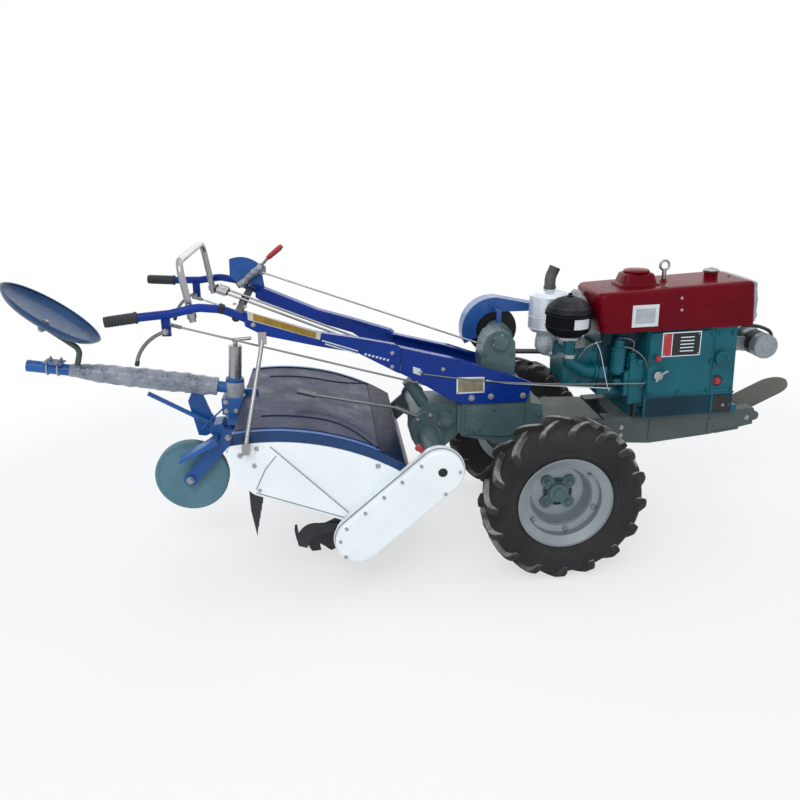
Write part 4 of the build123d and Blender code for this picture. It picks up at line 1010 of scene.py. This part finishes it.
# rings on the intake pipe, the air cleaner and the muffler, and the cleaner's blank label
CLEANER = (77, -85)  # X and Y of the upright cylinders' middles
MUFFLER = (48, 92)
for name, profile, start, along, coat in (
        ("intake_clamp", [(24, 0), (27, 1), (27, 15), (24, 16)], (77, -128, 800), UP, "zinc steel"),
        ("intake_flange", [(24, 0), (36, 2), (36, 10), (24, 12)], (182, -128, 741), (1, 0, 0), "engine teal"),
        ("cleaner_clamp", [(52, 0), (56, 1.5), (56, 13), (52, 14.5)], (*CLEANER, 868), UP, "zinc steel"),
        ("cleaner_band", [(88, 0), (94.5, 1), (94.5, 5), (88, 6)], (*CLEANER, 966), UP, "black plastic"),
        ("cleaner_band_low", [(88, 0), (90, 1), (90, 4), (88, 5)], (*CLEANER, 918), UP, "black plastic"),
        ("cleaner_stud", [(14, -2), (14, 4), (8, 6), (8, 14), (0, 15)], (*CLEANER, 1038), UP,
         "black plastic"),
        ("muffler_seam", [(82, 0), (84.4, 1.2), (84.4, 4.2), (82, 5.4)], (*MUFFLER, 920), UP, "silver paint"),
        ("muffler_seam_low", [(81, 0), (83.6, 1.2), (83.6, 4.2), (81, 5.4)], (*MUFFLER, 872), UP,
         "silver paint"),
        ("spout_collar", [(22, 0), (26, 1.5), (26, 12), (22, 13)], (47, 92, 1036), (-0.06, 0, 1),
         "pipe brown")):
    slot = "silver_sheet" if "muffler" in name else "black_plastic"
    lathe(name, slot, coat, profile, start, along, segments=40)
label = Shape()
rows = []
for k in range(9):
    angle = radians(-92 + 6 * k)
    rows.append([(CLEANER[0] + r * cos(angle), CLEANER[1] + r * sin(angle), z)
                 for r, z in ((88.4, 921), (89.2, 921), (89.2, 962), (88.4, 962))])
label.skin(rows)
label.done("cleaner_label", "black_plastic", ["decal white"])

# ---- hood: rounded sheet, blank label, rivets, pressed line, filler cap ----
HOOD_FACE = -187.6  # its near side
ROLL = 20.0  # radius of the roll along its top edge


def hood_ring(share, inset, drop):
    """Ring round the hood at a share of its height, drawn in by an inset and lowered by a drop."""
    rear, front = -280 - 22 * share + inset, 340 - 15 * share - inset
    near, far = HOOD_FACE + inset, 94.6 - inset
    ring = []
    for cx, cy, radius, start in ((front, far, 14, 0), (rear, far, 34, 90), (rear, near, 34, 180),
                                  (front, near, 14, 270)):
        radius = max(radius - inset, 3)
        mid_x = cx - radius if cx == front else cx + radius
        mid_y = cy - radius if cy == far else cy + radius
        for k in range(7):
            angle = radians(start + 15 * k)
            x = mid_x + radius * cos(angle)
            low, high = 368, 525 + 20 * (x + 302) / 627
            ring.append((x, mid_y + radius * sin(angle), low + (high - low) * share - drop))
    return ring


def rounded_plan(x, y, half_x, half_y, radius, z):
    """Rounded rectangle about a centre, at a height."""
    ring = []
    for sx, sy, start in ((1, 1, 0), (-1, 1, 90), (-1, -1, 180), (1, -1, 270)):
        for k in range(5):
            angle = radians(start + 22.5 * k)
            ring.append((x + sx * (half_x - radius) + radius * cos(angle),
                         y + sy * (half_y - radius) + radius * sin(angle), z))
    return ring


hood = Shape(bed)
rings = [hood_ring(0, 6, 0), hood_ring(0, 0, 0), hood_ring(0.04, 0, 0), hood_ring(0.5, 0, 0)]
for turn in range(0, 91, 15):
    rings.append(hood_ring(1.0, ROLL * (1 - cos(radians(turn))), ROLL * (1 - sin(radians(turn)))))
rings.append(hood_ring(1.0, ROLL + 16, -0.4))
hood.skin(rings)
DOME = [(82, 70, 22, 524), (82, 70, 22, 536), (80, 68, 21, 538), (70, 58, 18, 539),
        (66, 54, 18, 552), (62, 50, 18, 568), (58, 46, 17, 575), (52, 40, 15, 578)]
hood.skin([rounded_plan(-102, -45, half_x, half_y, radius, z) for half_x, half_y, radius, z in DOME])
hood.turned([(27, 0), (27, 26), (25, 28)], (211, -45, 536), UP, 28)
hood.turned([(16, 0), (15, 4), (10, 7), (10, 10)], (14, -45, 534), UP, 20)
hood.done("hood_sheet", "hood_red", ["hood red"], ["engine_hood"], crease=40)
for name, x0, x1, top, back, z0, z1, coat in (
        ("hood_label", -166, -60, 1.8, 0, 388, 475, "decal white"),
        ("hood_label_field", -152, -74, 2.4, 1.6, 402, 461, "label grey")):
    label = Shape(bed)
    label.block(x0, x1, HOOD_FACE - top, HOOD_FACE - back, z0, z1)
    label.done(name, "hood_red", [coat])
line = Shape(bed)
line_y = HOOD_FACE + 0.2
line.rod([(104, line_y, 463), (308, line_y, 464)], 2.6, 8)
line.rod([(-268, line_y, 392), (322, line_y, 392)], 2.0, 8)
line.done("hood_pressed_line", "hood_red", ["hood red"])
bolts(((28, 494), (32, 447)), -188, size=4.5, place=bed)
for x, y in ((-20, -150), (290, -45)):
    bolt(x, y, 531 + 0.032 * (x + 190), UP, 5, place=bed)
lathe("filler_cap", "bright_steel", "bright steel",
      [(29, 0), (31, 3), (31, 10), (24, 14), (8, 15), (6, 20), (0, 20)], (211, -45, 562), UP, bed)
lathe("tank_dome_lid", "hood_red", "hood red",
      [(50, 0), (52, 2), (52, 7), (48, 10), (0, 11)], (-102, -45, 578), UP, bed, bevel=1.5)

# ---- generator: bright end cover with its bolts, and dark body ----
lathe("generator_end", "silver_sheet", "wheel silver",
      [(0, 0), (20, 0), (22, 3), (44, 4), (50, 9), (50.5, 46), (48.6, 48)], (412, -176, 270), (0, 1, 0), bed,
      segments=40)
lathe("generator_body", "black_plastic", "black steel",
      [(48.6, 0), (49.6, 1), (49.6, 58), (48.6, 59)], (412, -128, 270), (0, 1, 0), bed, segments=40)
bolt_ring(5, 18, 36, (412, -172.5, 270), size=4, place=bed)

# ---- film: over the lamp, round the muffler's pipe, on the hood's front end and round the beam ----
LAMP = (-330, -12, 436)
LAMP_HALF = (46, 66, 72)  # half sizes of the bag over it
bag = Shape(bed)
rows = []
for i in range(23):
    turn = pi * i / 22
    wide = max(sin(turn), 0.02)
    rows.append([(LAMP[0] + LAMP_HALF[0] * wide * cos(2 * pi * k / 40),
                  LAMP[1] + LAMP_HALF[1] * wide * sin(2 * pi * k / 40),
                  LAMP[2] - LAMP_HALF[2] * cos(turn)) for k in range(40)])
bag.skin(rows)
crumple(bag, 13.0, 0.032, 3.1)
bag.done("lamp_film", "packing_film", ["clear film on grey"], ["headlamp"], crease=60)
bag = Shape()
profile = [(19, 748), (23, 756), (34, 764), (44, 778), (49, 796),
           (50, 814), (48, 832), (44, 850), (36, 858), (24, 862)]
bag.turned(profile, (*MUFFLER, 0), UP, 36)
crumple(bag, 9.0, 0.05, 1.9)
bag.done("muffler_pipe_film", "packing_film", ["clear film on silver"], smooth=1, crease=60)

front = Shape(bed)
rows = []
for i in range(27):
    z = 378 + 164 * i / 26
    lean = 340 - 15 * (z - 368) / 170
    ring = []
    for y in (-180, -176, -120, -60, 0, 60, 86, 90):
        ring.append((lean - 6, y, z))
    for y in (90, 86, 60, 0, -60, -120, -176, -180):
        ring.append((lean + (30 if abs(y) < 176 else 14) * (0.55 + 0.45 * sin(pi * i / 26)), y, z))
    rows.append(ring)
front.skin(rows)
crumple(front, 6.0, 0.045, 5.3)
front.done("hood_front_film", "packing_film", ["clear film on grey"], crease=60, smooth=1)

BEAM_FRONT = (-1265.0, 664.0)  # seat beam's ends, in X and Z
BEAM_END = (-2051.0, 777.0)
beam_slope = atan2(BEAM_END[1] - BEAM_FRONT[1], BEAM_FRONT[0] - BEAM_END[0])
beam_place = (datum @ Matrix.Translation((BEAM_FRONT[0], 0, BEAM_FRONT[1]))
              @ Matrix.Rotation(beam_slope - pi / 2, 4, "Y"))  # X up and Z rearward
wrap = Shape(beam_place)
stations = [(23, 62), (37, 64), (40, 160), (41, 340), (37, 520), (28, 600), (25, 632), (22, 636)]
profile = []
for (r0, z0), (r1, z1) in zip(stations, stations[1:]):
    steps = max(1, int((z1 - z0) / 7))
    profile += [(r0 + (r1 - r0) * k / steps, z0 + (z1 - z0) * k / steps) for k in range(steps)]
profile.append(stations[-1])
wrap.turned(profile, (0, 0, 0), UP, 34)
for vert in wrap.mesh.verts:
    around = atan2(vert.co.y, vert.co.x)
    if 66 < vert.co.z < 628:
        push = 1 + 0.035 * sin(vert.co.z * 0.11 + around * 2) + 0.02 * sin(vert.co.z * 0.043 - around)
        vert.co.x *= push
        vert.co.y *= push
crumple(wrap, 2.6, 0.06, 7.7)
wrap.done("beam_film", "packing_film", ["clear film on blue"], ["beam_wrap"], crease=60)

# packing round the column's sleeve, above the fork that turns under it
wrap = Shape()
start, end = Vector((-1271.5, 0, 540)), Vector((-1259.5, 0, 694))
wrap.rod([start + (end - start) * k / 20 for k in range(21)], 37, 26)
crumple(wrap, 4.0, 0.07, 4.4)
wrap.done("sleeve_film", "packing_film", ["clear film on dark"], crease=60)

# the muffler's burnt outlet, and the covers on the barrel's side
wire("outlet_pipe", [(47, 92, 1040), (46, 92, 1066), (48, 92, 1088), (57, 92, 1112), (63.4, 92, 1127.6)],
     23.2, "pipe brown", slot="silver_sheet", segments=28)
barrel = Shape(bed)
barrel.block(-258, -92, -112, -109, 120, 366)
barrel.block(-252, -100, -122, -110, 300, 366)
for x in (-240, -150):
    barrel.block(x, x + 26, -126, -120, 306, 360)
barrel.done("barrel_side_covers", "engine_teal", ["engine dark and painted shade"], bevel=2.0)

# ---- tiller: chain case bolts, plugs, side plates, cover ----
CASE_TOP = (-484.0, 471.0)  # its upper and lower shaft, in X and Z
CASE_LOW = (-785.0, 205.0)
CASE_OUT = -478.0  # outer face of its cover
case_line = Vector((CASE_LOW[0] - CASE_TOP[0], CASE_LOW[1] - CASE_TOP[1])).normalized()
across = Vector((case_line.y, -case_line.x))


def on_case(share, offset):
    """Point along the case's centre line, moved square to it."""
    return (CASE_TOP[0] + (CASE_LOW[0] - CASE_TOP[0]) * share + across.x * offset,
            CASE_TOP[1] + (CASE_LOW[1] - CASE_TOP[1]) * share + across.y * offset)


for share, offset in ((0.08, 73), (0.31, 73), (0.53, 73), (0.76, 73), (0.99, 73), (0.10, -73), (1.12, 50),
                      (1.19, -12), (-0.14, -42)):
    x, z = on_case(share, offset)
    bolt(x, CASE_OUT + 1.4, z, size=6.5)
flange = Shape()
rings = []
for y, radius in ((-448.2, 88.2), (-448.2, 90.6), (-452, 90.6), (-452, 88.2)):
    rings.append([(x, y, z) for x, z in slot_ring(CASE_TOP, CASE_LOW, radius)])
flange.skin(rings, closed_path=True)
flange.done("chain_case_gasket", "rubber_black", ["dull steel"])
lathe("case_plug", "black_plastic", "black steel",
      [(0, -1), (17, -1), (17, 2), (13, 2.5), (13, 4.6), (9, 5), (0, 5)], (-478, CASE_OUT, 477), TO_NEAR)
lathe("case_breather", "hood_red", "warning red",
      [(0, 0), (9, 0), (9, 14), (13, 15), (13, 27), (9, 30), (0, 30)], (-549, -430, 542), (-0.66, 0, 0.75))
for side in (-1, 1):
    bolts(((-1206, 543), (-1145, 568), (-1156, 502), (-1143, 405), (-710, 484)), side * 415.2,
          (0, side, 0), 7.5)
press = Shape()
for a, b in (((-1098, 576), (-822, 300)), ((-1157, 396), (-838, 280)), ((-1078, 540), (-1120, 486)),
             ((-1120, 486), (-1155, 409))):
    stripe(press, a, b, 3, -420.0, -418.6)
    stripe(press, a, b, 3, 418.6, 420.0)
press.done("side_plate_edges", "white_paint", ["dull steel"])

COVER = [(-610.0, 487.0), (-921.0, 613.0), (-1228.0, 623.0)]  # places on its top, in X and Z
FLANK = [(-600, 441), (-884, 565), (-1240, 580)]  # and on its flanks' lower edge
COVER_HALF = 409.6
RIDGE = 384.0  # Y of its long pressed lines


def circle_through(a, b, c):
    """Centre and radius of the circle through three points."""
    d = 2 * (a[0] * (b[1] - c[1]) + b[0] * (c[1] - a[1]) + c[0] * (a[1] - b[1]))
    sa, sb, sc = (p[0] ** 2 + p[1] ** 2 for p in (a, b, c))
    x = (sa * (b[1] - c[1]) + sb * (c[1] - a[1]) + sc * (a[1] - b[1])) / d
    z = (sa * (c[0] - b[0]) + sb * (a[0] - c[0]) + sc * (b[0] - a[0])) / d
    return x, z, hypot(a[0] - x, a[1] - z)


cover_x, cover_z, cover_radius = circle_through(*COVER)


def cover_arc(start, end, lift, steps=30):
    """Points over the cover between two X positions, lifted off it."""
    points = []
    for k in range(steps + 1):
        x = start + (end - start) * k / steps
        z = cover_z + ((cover_radius + lift) ** 2 - (x - cover_x) ** 2) ** 0.5
        points.append((x, z))
    return points


# painted shade: the pressed lines are dark rods that stand for the shade in the cover's creases
ribs = Shape()
for side in (-1, 1):
    ribs.rod([(x, side * RIDGE, z) for x, z in cover_arc(-700, -1220, 0.8)], 4.0, 8)
    crease = [(x, side * 250, z) for x, z in cover_arc(-1138, -900, 0.2, 16)]
    for x, z in cover_arc(-900, -710, 0.2, 16):
        crease.append((x, side * (250 + 150 * ((-900 - x) / -190) ** 2), z))
    ribs.rod(crease, 3.6, 8)
ribs.done("cover_pressed_lines", "cover_blue", ["cover painted shade"])
# painted shade: a dark band over the cover's front, where the sheet bends down away from the light; the side
# bands are tail blue
band = Shape()
outer, inner = cover_arc(-612, -704, 2.2, 12), cover_arc(-704, -612, 0.4, 12)
band.prism(outer + inner, -COVER_HALF, COVER_HALF)
band.coat = 1
outer, inner = cover_arc(-704, -1226, 2.0, 30), cover_arc(-1226, -704, 0.4, 30)
band.prism(outer + inner, -COVER_HALF, -RIDGE)
band.prism(outer + inner, RIDGE, COVER_HALF)
band.done("cover_bands", "cover_blue", ["cover painted shade", "tail blue"])
edge_x, edge_z, edge_radius = circle_through(*FLANK)
lower = []
for k in range(31):
    x = -602 - 622 * k / 30
    lower.append((x, edge_z + (edge_radius ** 2 - (x - edge_x) ** 2) ** 0.5))
for name, side in SIDES:
    flank = Shape()
    flank.prism(cover_arc(-1226, -612, -0.6) + lower, side * (COVER_HALF + 0.6), side * (COVER_HALF + 1.8))
    flank.done("cover_flank_" + name, "cover_blue", ["flank blue"])
for y in (-380, -200, 200, 380):
    bolts(((-1250.5, 544), (-1250.5, 516)), y, (-1, 0, 0), 8)

# ---- tail: seat rim and nut, U-bolts, fork and wheel nuts, pedal plate, lever grips ----
SEAT = (-1928, 0, 987)
SEAT_PITCH, SEAT_ROLL = 35.9, -7  # degrees
seat_place = (datum @ Matrix.Translation(SEAT) @ Matrix.Rotation(radians(SEAT_PITCH), 4, "Y")
              @ Matrix.Rotation(radians(SEAT_ROLL), 4, "X"))
rim = Shape(seat_place)
bead = [(194.6 + 3.4 * cos(radians(a)), -2.6 + 3.4 * sin(radians(a))) for a in range(0, 360, 45)]
rim.turned(bead, (0, 0, 0), UP, 72, closed=True)
rim.done("seat_rim", "handle_blue", ["seat blue"])
bolt(0, 0, -49, UP, 11, place=seat_place)
bolt(0, 0, -78, (0, 0, -1), 11, place=seat_place)
# painted shade: dark discs on the seat pan stand for its holes
for name, x, y in (("01", -40, 62), ("11", 40, 62), ("00", -40, -62), ("10", 40, -62)):
    hole_shade = Shape(seat_place)
    hole_shade.turned([(0, 0), (8, 0), (8, 0.8), (0, 0.8)], (x, y, -48.3), UP, 16)
    hole_shade.done("seat_hole_shade_" + name, "handle_blue", ["black steel"])
U_RADIUS = 25.5
for at in (676, 716):
    loop = Shape(beam_place)
    bend = [(-U_RADIUS * cos(radians(a)), U_RADIUS * sin(radians(a)), at) for a in range(-90, 91, 15)]
    loop.rod([(40, -U_RADIUS, at)] + bend + [(40, U_RADIUS, at)], 4.0, 8)
    loop.done("u_bolt_" + str(at), "bright_steel", ["zinc steel"])
    for y in (-U_RADIUS, U_RADIUS):
        bolt(27.5, y, at, (1, 0, 0), 7, place=beam_place)
shoe = Shape(beam_place)
shoe.block(22.6, 27, -38, 38, 660, 732)
shoe.done("beam_shoe", "bright_steel", ["tail blue"], bevel=1.5)
lathe("beam_end_cap", "handle_blue", "tail blue",
      [(0, 0), (17.5, 0), (22, 2), (23.6, 6), (23.6, 12), (23, 14)], (0, 0, 793.6), (0, 0, -1), beam_place)
for y, facing in ((-62, -1), (28, 1)):
    bolt(-1460, y, 287, (0, facing, 0), 12, "tail_fork")
bolt(-1296, -54.5, 470, TO_NEAR, 10, "tail_fork")
tread = Shape()
tread.prism([(-1374, 464.5), (-1470, 404.5), (-1466, 398.5), (-1370, 458.5)], -126, -64)
tread.done("pedal_plate", "handle_blue", ["decal cream"], body="tail_fork", bevel=1.0)
for k in range(4):
    x, z = -1392 - 20 * k, 455.5 - 12.4 * k
    wire("pedal_bar_" + str(k), [(x, -124, z), (x, -66, z)], 2.6,
         "tail blue", "tail_fork", "handle_blue", steps=1)
for side in (-1, 1):
    bolts(((-1296, 620), (-1256, 582), (-1296, 582)), side * 46.5, (0, side, 0), 8)
COLUMN_FOOT = Vector((-1276, 0, 482))
sleeve_axis = Vector((-1248, 0, 843)) - COLUMN_FOOT
for at in (46, 214):  # both clear of the fork, which turns under the sleeve
    start = COLUMN_FOOT + sleeve_axis.normalized() * at
    lathe("sleeve_ring_" + str(at), "handle_blue", "tail blue",
          [(33, 0), (36.5, 1), (36.5, 11), (33, 12)], start, sleeve_axis)
grip = Shape()
grip.rod([(-1123, 247, 1149), (-1112, 247, 1158), (-1072, 247, 1191), (-1060, 247, 1201)], 10, 14,
         radii=[9, 11, 12, 8])
grip.done("clutch_grip", "hood_red", ["warning red"])
sleeve = Shape()
lever_line = [(-1248, 247, 1036), (-1212, 247, 1066), (-1176, 247, 1096), (-1150, 247, 1118)]
sleeve.rod(curve_points(lever_line, 8), 15, 18)
crumple(sleeve, 4.5, 0.06, 2.2)
sleeve.done("clutch_lever_film", "packing_film", ["clear film on dark"], crease=60, smooth=1)
for name, side in SIDES:
    tip = Shape()
    tip.rod([(-1540, side * 352, 887), (-1544, side * 352, 874), (-1546, side * 352, 869)], 8.5, 12,
            radii=[7.4, 8.6, 7.0])
    tip.done("steering_lever_tip_" + name, "rubber_black", ["black rubber"])
for x, z, facing in ((-1302, 1072.6, -1), (-1266, 1058.2, 1)):
    for side in (-1, 1):
        bolt(x, side * 35, z, (facing, 0, 0), 8, coat="black rubber")

make_bolts()
